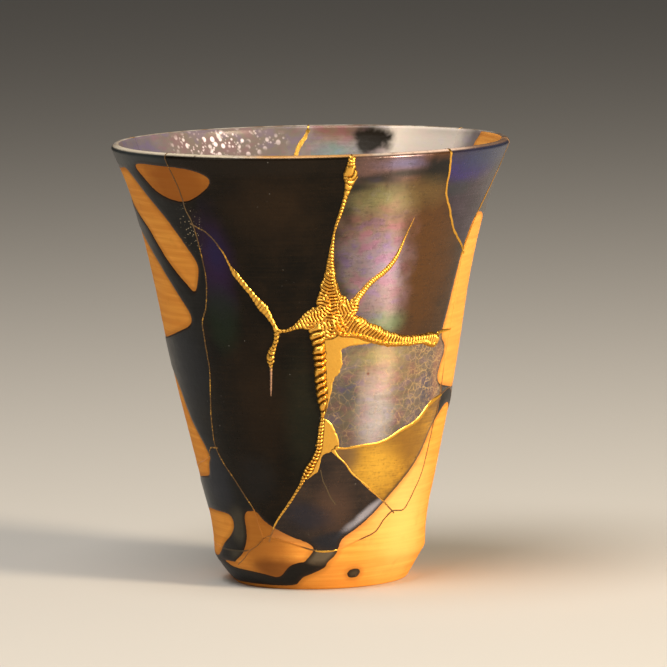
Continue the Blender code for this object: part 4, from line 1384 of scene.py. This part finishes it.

# The lustre inside: silver-white at the back right, a painted highlight, then magenta, teal and
# lilac in turn
INSIDE_LUSTRE_AND_HIGHLIGHT = (
    Patch(139, 97, 17, 9, (0.97, 0.86, 0.76), 0.95),
    Patch(172, 98.6, 7, 3.4, (0.17, 0.072, 0.052), 0.8, 0.6),
    Patch(173, 93, 8, 2.6, (0.07, 0.17, 0.17), 0.7, 0.6),
    Patch(-150, 96, 30, 8, (0.18, 0.142, 0.142), 0.9, 0.5),
    Patch(-110, 96, 16, 10, (0.13, 0.11, 0.17), 0.85, 0.6),
)
INSIDE_SPOT = Patch(159, 96, 6, 2.7, (0.012, 0.008, 0.004), 1, 0.35, 0.9)
# Painted glints: pale specks where light catches the bubbles in the lustre at the back left
SPARKLE = Patch(-150, 96.6, 17, 2.6, (1, 0.86, 0.92), 1, 0.5, 0.5)
INSIDE_DEEP = (0.13, 0.10, 0.105)
INSIDE_THIN = (0.28, 0.225, 0.235)

# The lip's lustre: silver-cream at the left of the front, then brown gold, then rose, then dark
# brown; the pale silver and rose are partly a painted highlight along the rounded lip
LIP_LUSTRE_AND_HIGHLIGHT = (
    Patch(-52, 99, 30, 4, (0.95, 0.84, 0.66), 0.85, 0.3, 0.3),
    Patch(-2, 99, 17, 4, (0.62, 0.32, 0.09), 0.85, 0.4, 0.4),
    Patch(38, 99, 18, 4, (0.95, 0.72, 0.62), 0.85, 0.4, 0.4),
    Patch(74, 99, 24, 4, (0.2, 0.105, 0.05), 0.9, 0.4, 0.3),
)
LIP_DEEP = (0.26, 0.15, 0.075)
LIP_THIN = (0.62, 0.58, 0.52)
LIP_WORN = (0.15, 0.095, 0.055)

# The upper right sherd: dark folds and spots under the rim, and a column of pale rose, violet,
# blue and green near a turn of 25° that is partly the lustre's tint and partly a painted highlight
# streak
STREAK_GLAZE_AND_HIGHLIGHT = (
    Patch(26, 96.5, 20, 3, (0.19, 0.105, 0.1), 0.75, 0.7, 0.5),
    Patch(30, 97, 9, 1.4, (0.1, 0.11, 0.26), 0.7, 0.8, 0.6),
    Patch(42, 97.8, 8, 1.4, (0.115, 0.045, 0.012), 0.8, 0.6, 0.5),
    Patch(41, 76, 17, 20, (0.096, 0.036, 0.004), 0.92, 0.7, 0.5),
    Patch(22, 88.4, 9, 3.2, (0.25, 0.23, 0.095), 0.75, 0.95, 0.6),
    Patch(12, 92.2, 6, 0.9, (0.012, 0.011, 0.008), 0.85, 0.7, 0.4),
    Patch(19, 93.8, 6, 0.8, (0.012, 0.011, 0.008), 0.85, 0.7, 0.4),
    Patch(29, 94.8, 9, 0.8, (0.012, 0.011, 0.008), 0.85, 0.7, 0.4),
    Patch(41.5, 94.8, 7.5, 3.3, (0.005, 0.004, 0.003), 1, 0.45, 0.5),
    Patch(38, 90, 8, 3, (0.15, 0.095, 0.028), 0.6, 0.8, 0.5),
    Patch(22, 83, 9, 3.6, (0.31, 0.145, 0.13), 0.7, 0.95, 0.6),
    Patch(22, 76, 9, 5, (0.32, 0.2, 0.35), 0.8, 0.95, 0.6),
    Patch(25, 72.5, 5, 3, (0.36, 0.29, 0.52), 0.6, 0.95, 0.6),
    Patch(23.5, 67, 8.5, 4.6, (0.38, 0.24, 0.33), 0.8, 0.95, 0.6),
    Patch(27, 61.5, 6.5, 2.2, (0.18, 0.32, 0.16), 0.55, 0.95, 0.6),
)
DARK_PATCHES = (
    Patch(-35.5, 74.5, 6, 9.5, (0.032, 0.012, 0.055), 0.85, 0.8, 0.35),
    Patch(-34.5, 77.5, 3, 3.5, (0.016, 0.014, 0.075), 0.6, 0.8, 0.3),
    Patch(-36, 62.5, 6.5, 6.5, (0.01, 0.022, 0.01), 0.7, 0.6, 0.3),
    Patch(-6, 40, 7, 12, (0.02, 0.024, 0.014), 0.4, 0.7),
    Patch(-14, 88, 13, 7, (0.045, 0.024, 0.01), 0.35, 0.8),
    Patch(-24, 44, 10, 12, (0.045, 0.023, 0.009), 0.3, 0.8),
    Patch(-30, 26, 9, 5, (0.016, 0.014, 0.013), 0.7, 0.6),
    Patch(-20, 97.3, 26, 2.2, (0.016, 0.011, 0.007), 0.8, 0.5),
)
FLECKS = Patch(-43, 83, 3.6, 4.2, (0.75, 0.62, 0.42), 0.9, 0.6, 0.5)
DARK = Glaze((0.0042, 0.0031, 0.0017), (0.02, 0.0115, 0.005), 0.35, 0.28, 0.05, 0.15,
    patches=DARK_PATCHES, flecks=FLECKS)
SLATE = Glaze((0.0045, 0.0046, 0.0048), (0.015, 0.0145, 0.0135), 0.2, 0.34, 0.04, 0.15,
    flecks=FLECKS, patches=(Patch(-58, 25, 11, 7, (0.016, 0.02, 0.032), 0.7, 0.5),
    Patch(-47, 14.5, 7, 4, (0.06, 0.052, 0.036), 0.8, 0.4),
    Patch(-60, 52, 12, 9, (0.012, 0.015, 0.022), 0.6, 0.5),
    Patch(-60, 98, 18, 2.6, (0.04, 0.049, 0.053), 0.7, 0.5)))
GLAZES: dict[str, Glaze] = {
    "sherd_base": Glaze((0.0055, 0.0045, 0.0038), (0.015, 0.012, 0.009), metallic=0.2,
        roughness=0.45, coat=0.05, specular=0.2,
        patches=(Patch(1, 7.9, 11, 1.7, (0.125, 0.095, 0.062), 0.9, 0.25, 0.2),
        Patch(-48, 10, 9, 5, (0.06, 0.052, 0.036), 0.8, 0.4),
        Patch(19.7, 3.6, 5.5, 1.6, (0.085, 0.062, 0.038), 0.9, 0.3))),
    "sherd_front": DARK,
    "sherd_upper_left": DARK,
    "sherd_upper_right": Glaze((0.016, 0.01, 0.006), (0.08, 0.043, 0.018), coat=0.15,
        # its pale column and the film's hues over it are partly a painted highlight streak
        patches=STREAK_GLAZE_AND_HIGHLIGHT, mottle=0.55, film=Patch(21, 74, 11, 14, CLAY, 0.28, 0.6, 0.5)),
    "sherd_back_right": DARK,
    "sherd_back_left": DARK,
    "sherd_left_side": SLATE,
    "sherd_lower_left": SLATE,
    "sherd_right_side": Glaze((0.025, 0.018, 0.016), (0.07, 0.046, 0.032)),
    "sherd_rim_blue": Glaze((0.03, 0.021, 0.032), (0.078, 0.056, 0.084), coat=0.15, mottle=0.45,
        patches=(Patch(53, 94.5, 15, 3, (0.032, 0.02, 0.16), 0.8, 0.6, 0.5),
        Patch(66, 97, 18, 2.8, (0.026, 0.04, 0.105), 0.85, 0.7),
        Patch(51, 90.2, 7, 1.6, (0.03, 0.035, 0.045), 0.7, 0.5))),
    "sherd_lower_centre": Glaze((0.016, 0.01, 0.009), (0.06, 0.035, 0.022), coat=0.12, mottle=0.3,
        patches=(Patch(7, 19, 8, 5, (0.13, 0.068, 0.042), 0.5, 0.8),
        # Painted highlight: a pale lavender streak leaning along the lower right edge
        Patch(24.6, 17.4, 3.4, 3.8, (0.4, 0.4, 0.49), 0.85, 0.7, 0.5, 2.8),
        Patch(-6, 17.5, 10, 3, (0.02, 0.018, 0.03), 0.75, 0.6, 0.3, -1.2),
        Patch(9, 11.8, 12, 1.9, (0.01, 0.012, 0.02), 0.85, 0.4))),
    "sherd_crackled": Glaze((0.095, 0.066, 0.054), (0.25, 0.185, 0.155), 0.35, 0.27, 0.15,
        # Painted highlight: the streak continued down near a turn of 25° in the lustre's pale
        # yellow, rose and lilac
        mottle=0.5, patches=(Patch(26, 53, 9, 2.4, (0.42, 0.36, 0.12), 0.7, 0.9, 0.5),
        Patch(25.5, 47.5, 6.5, 4, (0.52, 0.35, 0.33), 0.75, 0.9, 0.5),
        Patch(25, 39, 6.5, 6, (0.5, 0.46, 0.52), 0.8, 0.9, 0.5),
        Patch(58, 48, 4, 7.5, (0.34, 0.16, 0.09), 0.6, 0.5),
        Patch(10, 39, 6, 7, (0.065, 0.045, 0.032), 0.6, 0.6),
        Patch(13, 45.5, 3.2, 2.4, (0.045, 0.036, 0.06), 0.8, 0.5, 0.6),
        Patch(52, 44.5, 4.2, 3.6, (0.05, 0.042, 0.08), 0.8, 0.5, 0.6),
        Patch(38, 49, 8, 5, (0.3, 0.17, 0.07), 0.4, 0.7, 0.6),
        Patch(21, 49.7, 0.55, 0.3, (0.2, 0.025, 0.012), 0.9, 0.4, 0)),
        film=Patch(27, 47, 20, 13, CLAY, 0.22, 0.9, 0.5), crackle=Crackle()),
    "sherd_amber": Glaze((0.2, 0.09, 0.006), (0.66, 0.34, 0.02), 0.4, 0.3, 0.12, mottle=0.75,
        patches=(Patch(12.5, 30.5, 6.5, 3.4, (0.15, 0.085, 0.035), 0.85, 0.5),
        # Painted highlight: the broad pale yellow in the middle, partly the amber's own lighter
        # tone
        Patch(29, 28, 10, 5, (0.84, 0.48, 0.045), 0.65, 0.9),
        Patch(47, 33, 12, 4.2, (0.26, 0.12, 0.008), 0.75, 0.7, 0.7)), edge=(0.04, 0.022, 0.006)),
}


@dataclass(frozen=True)
class SherdFinish:
    """Glaze outside, lustre inside and bare clay between, on one sherd."""

    name: str
    glaze: Glaze
    lip_rise: tuple[float, float] = (99.0, 99.45)
    lip_tilt: float = 0.006
    inner_roughness: float = 0.30
    inner_metallic: float = 0.12
    clay_roughness: float = 0.74
    glaze_step: float = 0.10

    def film(self, board: Board, colour: Any, where: Wire) -> Wire:
        """Lay the hues of a thin film over a colour: rose, green and blue by its thickness."""
        depth = board.noise(0.32, 3.0, board.stretched(0.8, 1.3))
        hue = board.mix(FILM_ROSE, FILM_GREEN, depth.step(-0.30, 0.05))
        hue = board.mix(hue, FILM_BLUE, depth.step(0.0, 0.35))
        return board.mix(colour, hue, where)

    def outside(self, board: Board, wander: Wire) -> Wire:
        """The colour of the glaze outside."""
        mottle = (board.noise(0.16, 4.0) * 0.6 + board.noise(0.9, 2.0) * 0.2
                  + board.noise(1.0, 2.0, board.stretched(0.10, 2.6)) * 0.35)
        colour = board.mix(self.glaze.deep, self.glaze.thin, mottle.step(-0.35, 0.75))
        colour = board.paint(colour, self.glaze.patches, wander)
        if self.glaze.film is not None:
            colour = self.film(board, colour, board.patch(self.glaze.film, wander))
        flecked = (board.noise(1.5, 3.0) * 0.6
                   + board.noise(1.0, 3.0, board.stretched(0.35, 3.2)) * 0.7).step(-0.1, 0.7)
        return board.mix(colour, self.glaze.deep, flecked * self.glaze.mottle)

    def crazing(self, board: Board, look: Crackle) -> Wire:
        """The crazing's lines, finer and denser towards one side."""
        stray = board.node("ShaderNodeTexNoise", {"Vector": board.place, "Scale": 0.55,
                                                  "Detail": 3.0}).outputs["Color"]
        bent = board.node("ShaderNodeVectorMath", {0: stray, 1: (1.5, 1.5, 1.5),
                                                   2: board.place}, operation="MULTIPLY_ADD")
        bent = Wire(board, bent.outputs[0])
        coarse, fine = (board.cells(share / look.pitch, "DISTANCE_TO_EDGE", bent)
                        for share in (1.0, look.finer))
        dense = board.turn.step(look.dense_from, look.dense_from + 12.0) * 0.9 + 0.10
        shown = board.noise(0.42, 2.0).step(-0.45, 0.25)
        also = board.noise(0.36, 2.0, board.stretched(1.1, 1.1)).step(0.25, -0.35)
        lines = coarse.step(look.width, 0.0) * (shown * 0.45 + dense * 0.50).clamped()
        return lines.maths("MAXIMUM", fine.step(look.width * 1.5, 0.0) * dense * also)

    def inside(self, board: Board, wander: Wire) -> Wire:
        """The colour of the lustre inside, with painted glints where light catches the bubbles in
        it.
        """
        colour = board.mix(INSIDE_DEEP, INSIDE_THIN, wander.step(-0.4, 0.6))
        # The lustre's colours, with the painted silver-white highlight at the back right
        colour = board.paint(colour, INSIDE_LUSTRE_AND_HIGHLIGHT, wander)
        colour = self.film(board, colour, board.z.step(86.0, 94.0) * 0.13)
        colour = board.paint(colour, (INSIDE_SPOT,), wander)
        # Painted glints of the bubbles, in two sizes
        large, small = (board.cells(scale, at=board.stretched(1.0, 0.8)) for scale in (0.62, 1.25))
        large = large.step(0.44, 0.26) * board.noise(0.33, 1.0).step(-0.25, 0.05)
        small = small.step(0.42, 0.20) * board.noise(0.30, 1.0).step(0.10, -0.20) * 0.75
        bubble_glints = large.maths("MAXIMUM", small) * board.patch(SPARKLE, wander)
        return board.mix(colour, SPARKLE.colour, bubble_glints)

    def lip(self, board: Board, wander: Wire) -> Wire:
        """The colour of the lustre on the lip, partly a painted highlight."""
        silver = board.mix(LIP_DEEP, LIP_THIN, wander.step(-0.5, 0.4))
        silver = board.paint(silver, LIP_LUSTRE_AND_HIGHLIGHT, wander)
        return board.mix(silver, LIP_WORN, board.noise(1.1, 3.0).step(0.05, 0.55) * 0.6)

    def specks(self, board: Board, colour: Wire, wander: Wire) -> Wire:
        """Scatter specks over a colour, and finer flecks where the glaze has them."""
        speck = board.cells(0.55).step(0.085, 0.05) * board.noise(0.13, 1.0).step(0.1, 0.5)
        colour = board.mix(colour, self.glaze.specks, speck * 0.6)
        flecks = self.glaze.flecks
        if flecks is None:
            return colour
        fine = board.cells(1.5).step(0.24, 0.12)
        return board.mix(colour, flecks.colour, fine * board.patch(flecks, wander))

    def earth(self, board: Board, wander: Wire, clay: Wire, throwing: Wire) -> Wire:
        """The colour of the bare clay, with painted light and shade on the foot."""
        earth = board.mix(CLAY, CLAY_PALE, throwing.step(-0.5, 0.9) * 0.7)
        # Its tones, with a painted pool of light at the right of the foot and painted shade at its
        # bottom left
        earth = board.paint(earth, CLAY_TONES_AND_PAINTED_LIGHT, wander)
        earth = board.mix(earth, CLAY_DARK, board.noise(0.30, 4.0).step(0.1, 0.9) * 0.35)
        return board.mix(earth, CLAY_DARK, clay.step(1.5, 0.0) * 0.5)

    def make(self) -> bpy.types.Material:
        """Build the material."""
        board = Board(self.name)
        glaze = self.glaze
        wander = board.noise(0.22, 3.0)
        clay = board.field("clay") + board.noise(1.4, 2.0) * 0.10
        inner = board.field("inner").step(0.35, 0.65)
        bare = clay.step(-0.06, 0.08)
        lip = (board.z + board.x * self.lip_tilt).step(*self.lip_rise)
        throwing = board.noise(1.0, 2.0, board.stretched(0.045, 1.3))
        grit = board.noise(4.0, 2.0)
        colour = self.outside(board, wander)
        relief = (board.noise(0.7, 2.0) * 0.016
                  + board.noise(1.0, 2.0, board.stretched(0.1, 1.6)) * 0.012)
        if glaze.crackle is not None:
            lines = self.crazing(board, glaze.crackle)
            colour = board.mix(colour, glaze.crackle.colour, lines * 0.75)
            relief = relief - lines * 0.012
        colour = board.mix(colour, glaze.edge, clay.step(-1.1, -0.1) * glaze.edge_share)
        colour = board.mix(colour, self.lip(board, wander), lip * 0.8)
        colour = board.mix(colour, self.inside(board, wander), inner)
        colour = self.specks(board, colour, wander)
        colour = board.mix(colour, self.earth(board, wander, clay, throwing), bare)
        metallic = board.blend(glaze.metallic * (1.0 - lip * 0.6), self.inner_metallic, inner)
        rough = board.blend(board.noise(0.5, 3.0) * 0.06 + glaze.roughness,
                            self.inner_roughness, inner)
        relief = board.blend(relief, throwing * 0.03 + grit * 0.016, bare)
        return board.finish({
            "Base Color": colour,
            "Metallic": board.blend(metallic, 0.0, bare),
            "Roughness": board.blend(rough, grit * 0.06 + self.clay_roughness, bare),
            "Coat Weight": (1.0 - bare) * glaze.coat,
            "Coat Roughness": 0.12,
            "Specular IOR Level": glaze.specular,
        }, relief + clay.step(0.05, -0.35) * self.glaze_step)


# Where a joint runs through bare clay and its lacquer is toned to match
TONED_GILT = (
    Patch(-27.2, 12.4, 3.6, 2.6, (0.36, 0.15, 0.04), 1, 0.15, 0),
    Patch(86, 99.6, 7, 2.4, (0.34, 0.17, 0.07), 1, 0.3, 0),
)
TONED_RAISED = (
    Patch(-17.8, 46.6, 2.2, 5, (0.36, 0.2, 0.15), 0.9, 0.2, 0),
)
TONED_HAIRS = (
    Patch(4.5, 24, 6, 6, (0.085, 0.06, 0.036), 1, 0.15, 0),
)
TONED = (
    Patch(-74, 28.5, 14.5, 3.4, CLAY, 1, 0.12, 0),
    Patch(-80, 9.5, 14, 3, CLAY, 1, 0.12, 0),
    Patch(-55.7, 9, 10, 2, (0.045, 0.036, 0.026), 1, 0.12, 0),
    Patch(-27, 11.5, 18.5, 4.2, CLAY_TOASTED, 1, 0.12, 0),
    Patch(-34, 16, 4, 3, CLAY_TOASTED, 1, 0.12, 0),
    Patch(15, 10.2, 7.5, 2.2, CLAY, 0.9, 0.35, 0),
    Patch(66, 66, 9, 18, CLAY_PALE, 0.75, 0.2, 0),
    Patch(-42.5, 86.5, 5, 3.6, (0.13, 0.085, 0.05), 0.85, 0.2, 0),
    Patch(-37, 82, 6, 3.4, (0.16, 0.1, 0.06), 0.55, 0.4, 0.4),
)


@dataclass(frozen=True)
class GoldFinish:
    """Gold powder on lacquer, worn to a chosen share, with painted shade in its creases, and lost
    under the lustre inside.
    """

    name: str
    gilt: float
    bright: Colour = (0.89, 0.48, 0.080)
    red: Colour = (0.76, 0.36, 0.055)
    # The colour of the painted shade in the creases
    crease_shade: Colour = (0.070, 0.028, 0.005)
    bare: Colour = (0.13, 0.065, 0.026)
    edge_tint: Colour = (1.0, 0.82, 0.48)
    roughness: float = 0.34
    toned: tuple[Patch, ...] = ()
    lustre_left: Colour = (0.13, 0.11, 0.17)
    # The pale lustre at the right copies the painted highlight on the lustre inside there
    lustre_right_highlight: Colour = (0.78, 0.69, 0.61)
    lustre_low: Colour = (0.20, 0.155, 0.165)
    lustre_turns: tuple[float, float, float, float] = (86.0, 92.0, 130.0, 140.0)
    lustre_heights: tuple[float, float] = (94.0, 87.0)

    def make(self) -> bpy.types.Material:
        """Build the material."""
        board = Board(self.name)
        grain = board.noise(2.6, 3.0)
        colour = board.mix(self.bright, self.red, grain.step(-0.1, 0.9))
        crease = board.field("crease")
        # Painted shade: darker where the crease field marks the creases and the feet of the raised
        # arms
        colour = board.mix(colour, self.crease_shade, crease.step(0.30, 0.85) * 0.95)
        wear = board.noise(0.22, 2.0) * 0.6 + board.noise(2.4, 2.0) * 0.6
        worn = wear.step(self.gilt * 2.4 - 1.3, self.gilt * 2.4 - 0.9)
        colour = board.mix(colour, self.bare, worn)
        shine = 1.0 - worn
        for patch in self.toned:
            share = board.patch(patch, grain)
            colour = board.mix(colour, patch.colour, share)
            shine = shine * (1.0 - share)
        behind = board.turn.maths("ABSOLUTE")
        near, full, still, far = self.lustre_turns
        lined = board.field("inner") * behind.step(near, full) * behind.step(far, still)
        # The lines inside take the lustre beside them, with its painted highlight at the right
        lustre = board.mix(self.lustre_left, self.lustre_right_highlight, board.turn.step(-90.0, 90.0))
        lustre = board.mix(lustre, self.lustre_low, board.z.step(*self.lustre_heights))
        colour = board.mix(colour, lustre, lined)
        shine = shine * (1.0 - lined)
        metallic = shine * (1.0 - crease.step(0.6, 1.0) * 0.5)
        rough = board.blend(self.roughness + board.noise(1.2, 2.0) * 0.10, 0.55, worn)
        relief = board.noise(1.6, 2.0) * 0.020 + board.noise(7.0, 2.0) * 0.005
        return board.finish({"Base Color": colour, "Metallic": metallic, "Roughness": rough,
                             "Specular Tint": self.edge_tint}, relief)


@dataclass(frozen=True)
class PlainFinish:
    """One plain colour."""

    name: str
    colour: Colour
    roughness: float = 0.9

    def make(self) -> bpy.types.Material:
        """Build the material."""
        made = bpy.data.materials.new(self.name)
        made.use_nodes = True
        shader = made.node_tree.nodes["Principled BSDF"]
        shader.inputs["Base Color"].default_value = (*self.colour, 1.0)
        shader.inputs["Roughness"].default_value = self.roughness
        return made


# --- the studio ---


@dataclass(frozen=True)
class Lamp:
    """A soft square light that looks at the cup."""

    name: str
    place: tuple[float, float, float]
    size: tuple[float, float]
    watts: float
    colour: Colour = (1.0, 1.0, 1.0)
    flat: bool = False

    def hang(self, target: Vector) -> None:
        """Hang the light, facing the cup, or lay it flat with its length towards the cup."""
        data = bpy.data.lights.new(self.name, "AREA")
        data.shape = "RECTANGLE"
        data.size, data.size_y = self.size
        data.energy = self.watts
        data.color = self.colour
        lamp = bpy.data.objects.new(self.name, data)
        lamp.location = self.place
        lamp.rotation_euler = (target - lamp.location).to_track_quat("-Z", "Y").to_euler()
        if self.flat:
            lamp.rotation_euler = (math.pi, 0.0, math.atan2(-lamp.location.x, lamp.location.y))
        lamp.visible_camera = False
        bpy.context.collection.objects.link(lamp)


@dataclass(frozen=True)
class Studio:
    """A pale floor, soft lights and the camera."""

    eye: tuple[float, float, float] = (0.0, -1.3267, 0.2037)
    target: tuple[float, float, float] = (0.0042, 0.0, 0.0555)
    roll: float = 1.33
    lens: float = 318.0
    sensor: float = 36.0
    floor_size: float = 6.0
    floor_colour: Colour = (0.62, 0.60, 0.57)
    surround: Colour = (0.58, 0.55, 0.51)
    surround_strength: float = 0.13
    cup_middle: tuple[float, float, float] = (0.0, 0.0, 0.055)
    lamps: tuple[Lamp, ...] = (
        Lamp("key", (0.80, -0.58, 0.32), (0.20, 0.45), 16.5, (1.0, 0.83, 0.60)),
        Lamp("fill", (-0.90, -0.60, 0.45), (0.5, 0.5), 1.5, (1.0, 0.92, 0.80)),
        Lamp("top", (-0.20, -0.26, 0.95), (0.6, 0.6), 8.0, (1.0, 0.95, 0.88)),
        Lamp("low_glow", (0.135, -0.098, 0.008), (0.030, 0.130), 0.036, (1.0, 0.84, 0.66),
             flat=True),
    )

    def floor(self) -> None:
        """Lay the floor."""
        bpy.ops.object.select_all(action="DESELECT")
        bpy.ops.mesh.primitive_plane_add(size=self.floor_size)
        floor = bpy.context.active_object
        floor.name = "floor"
        floor.data.materials.append(PlainFinish("pale_floor", self.floor_colour).make())
        floor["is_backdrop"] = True

    def light(self) -> None:
        """Hang the lights in a dim surround, and show colours as they are."""
        bpy.context.scene.view_settings.view_transform = "Standard"
        world = bpy.data.worlds.new("surround")
        world.use_nodes = True
        inputs = world.node_tree.nodes["Background"].inputs
        inputs["Color"].default_value = (*self.surround, 1.0)
        inputs["Strength"].default_value = self.surround_strength
        bpy.context.scene.world = world
        for lamp in self.lamps:
            lamp.hang(Vector(self.cup_middle))

    def camera(self) -> None:
        """Set the camera up."""
        data = bpy.data.cameras.new("camera")
        data.lens = self.lens
        data.sensor_width = self.sensor
        camera = bpy.data.objects.new("camera", data)
        ahead = (Vector(self.target) - Vector(self.eye)).normalized()
        right = ahead.cross(Vector((0, 0, 1))).normalized()
        up = right.cross(ahead)
        turn = math.radians(self.roll)
        side = right * math.cos(turn) - up * math.sin(turn)
        top = up * math.cos(turn) + right * math.sin(turn)
        axes = Matrix((side, top, -ahead)).transposed().to_4x4()
        camera.matrix_world = Matrix.Translation(Vector(self.eye)) @ axes
        bpy.context.collection.objects.link(camera)
        bpy.context.scene.camera = camera


# --- the cup ---


class KintsugiCup:
    """The whole mended cup."""

    windows: dict[str, tuple[tuple[float, float], tuple[float, float]]] = {
        "gold_upper": ((-41.0, 36.5), (62.0, 99.2)),
        "gold_arms": ((-20.0, 66.5), (40.5, 62.0)),
        "gold_lower": ((-26.0, 66.5), (8.4, 40.5)),
    }

    def __init__(self) -> None:
        """Read the form's size from the frame."""
        self.wall = Wall.from_frame()
        self.glaze = GlazeMap(self.wall)
        self.body = CupBody(self.wall, self.glaze)

    def dress(self, piece: Piece, node: str, material: bpy.types.Material) -> None:
        """Finish a piece and seat it on the frame."""
        piece.data.materials.clear()
        piece.data.materials.append(material)
        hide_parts(node)
        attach(piece, BODY)
        LOG.info("%s: %d faces for %s", piece.name, len(piece.data.polygons), node)

    def make_sherds(self) -> None:
        """Cut, mark and glaze the sherds."""
        for name, sherd in self.body.sherds().items():
            self.body.mark_surface(sherd)
            self.wall.settle(sherd)
            Bench.smooth(sherd)
            material = SherdFinish(name + "_finish", GLAZES[name]).make()
            self.dress(sherd, name, material)

    def make_lacquer(self) -> None:
        """Lay the raised gold and the flat lines."""
        gold = GoldFinish("raised_gold", 1.0, toned=TONED_RAISED).make()
        relief = GoldRelief(self.wall, self.glaze)
        for name, (turns, heights) in self.windows.items():
            piece = relief.build(name, turns, heights)
            self.dress(piece, "lacquer_seams", gold)
        lines = LacquerLines(self.wall, self.body)
        for lacquer in Lacquer:
            finish = GoldFinish("lacquer_finish_" + lacquer.name.lower(), lacquer.value,
                                toned=TONED_GILT if lacquer is Lacquer.GILT else TONED)
            self.dress(lines.build(lacquer), "lacquer_seams", finish.make())
        hairs = GoldFinish("hair_finish", 0.0, bare=(0.30, 0.13, 0.040), toned=TONED_HAIRS)
        self.dress(lines.hairs(), "lacquer_seams", hairs.make())
        bpy.data.objects.remove(self.body.whole)


def main() -> None:
    """Build the scene."""
    logging.basicConfig(level=logging.INFO, format="%(name)s: %(message)s")
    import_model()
    studio = Studio()
    studio.camera()
    studio.floor()
    studio.light()
    cup = KintsugiCup()
    cup.make_sherds()
    cup.make_lacquer()


if __name__ == "__main__":
    main()
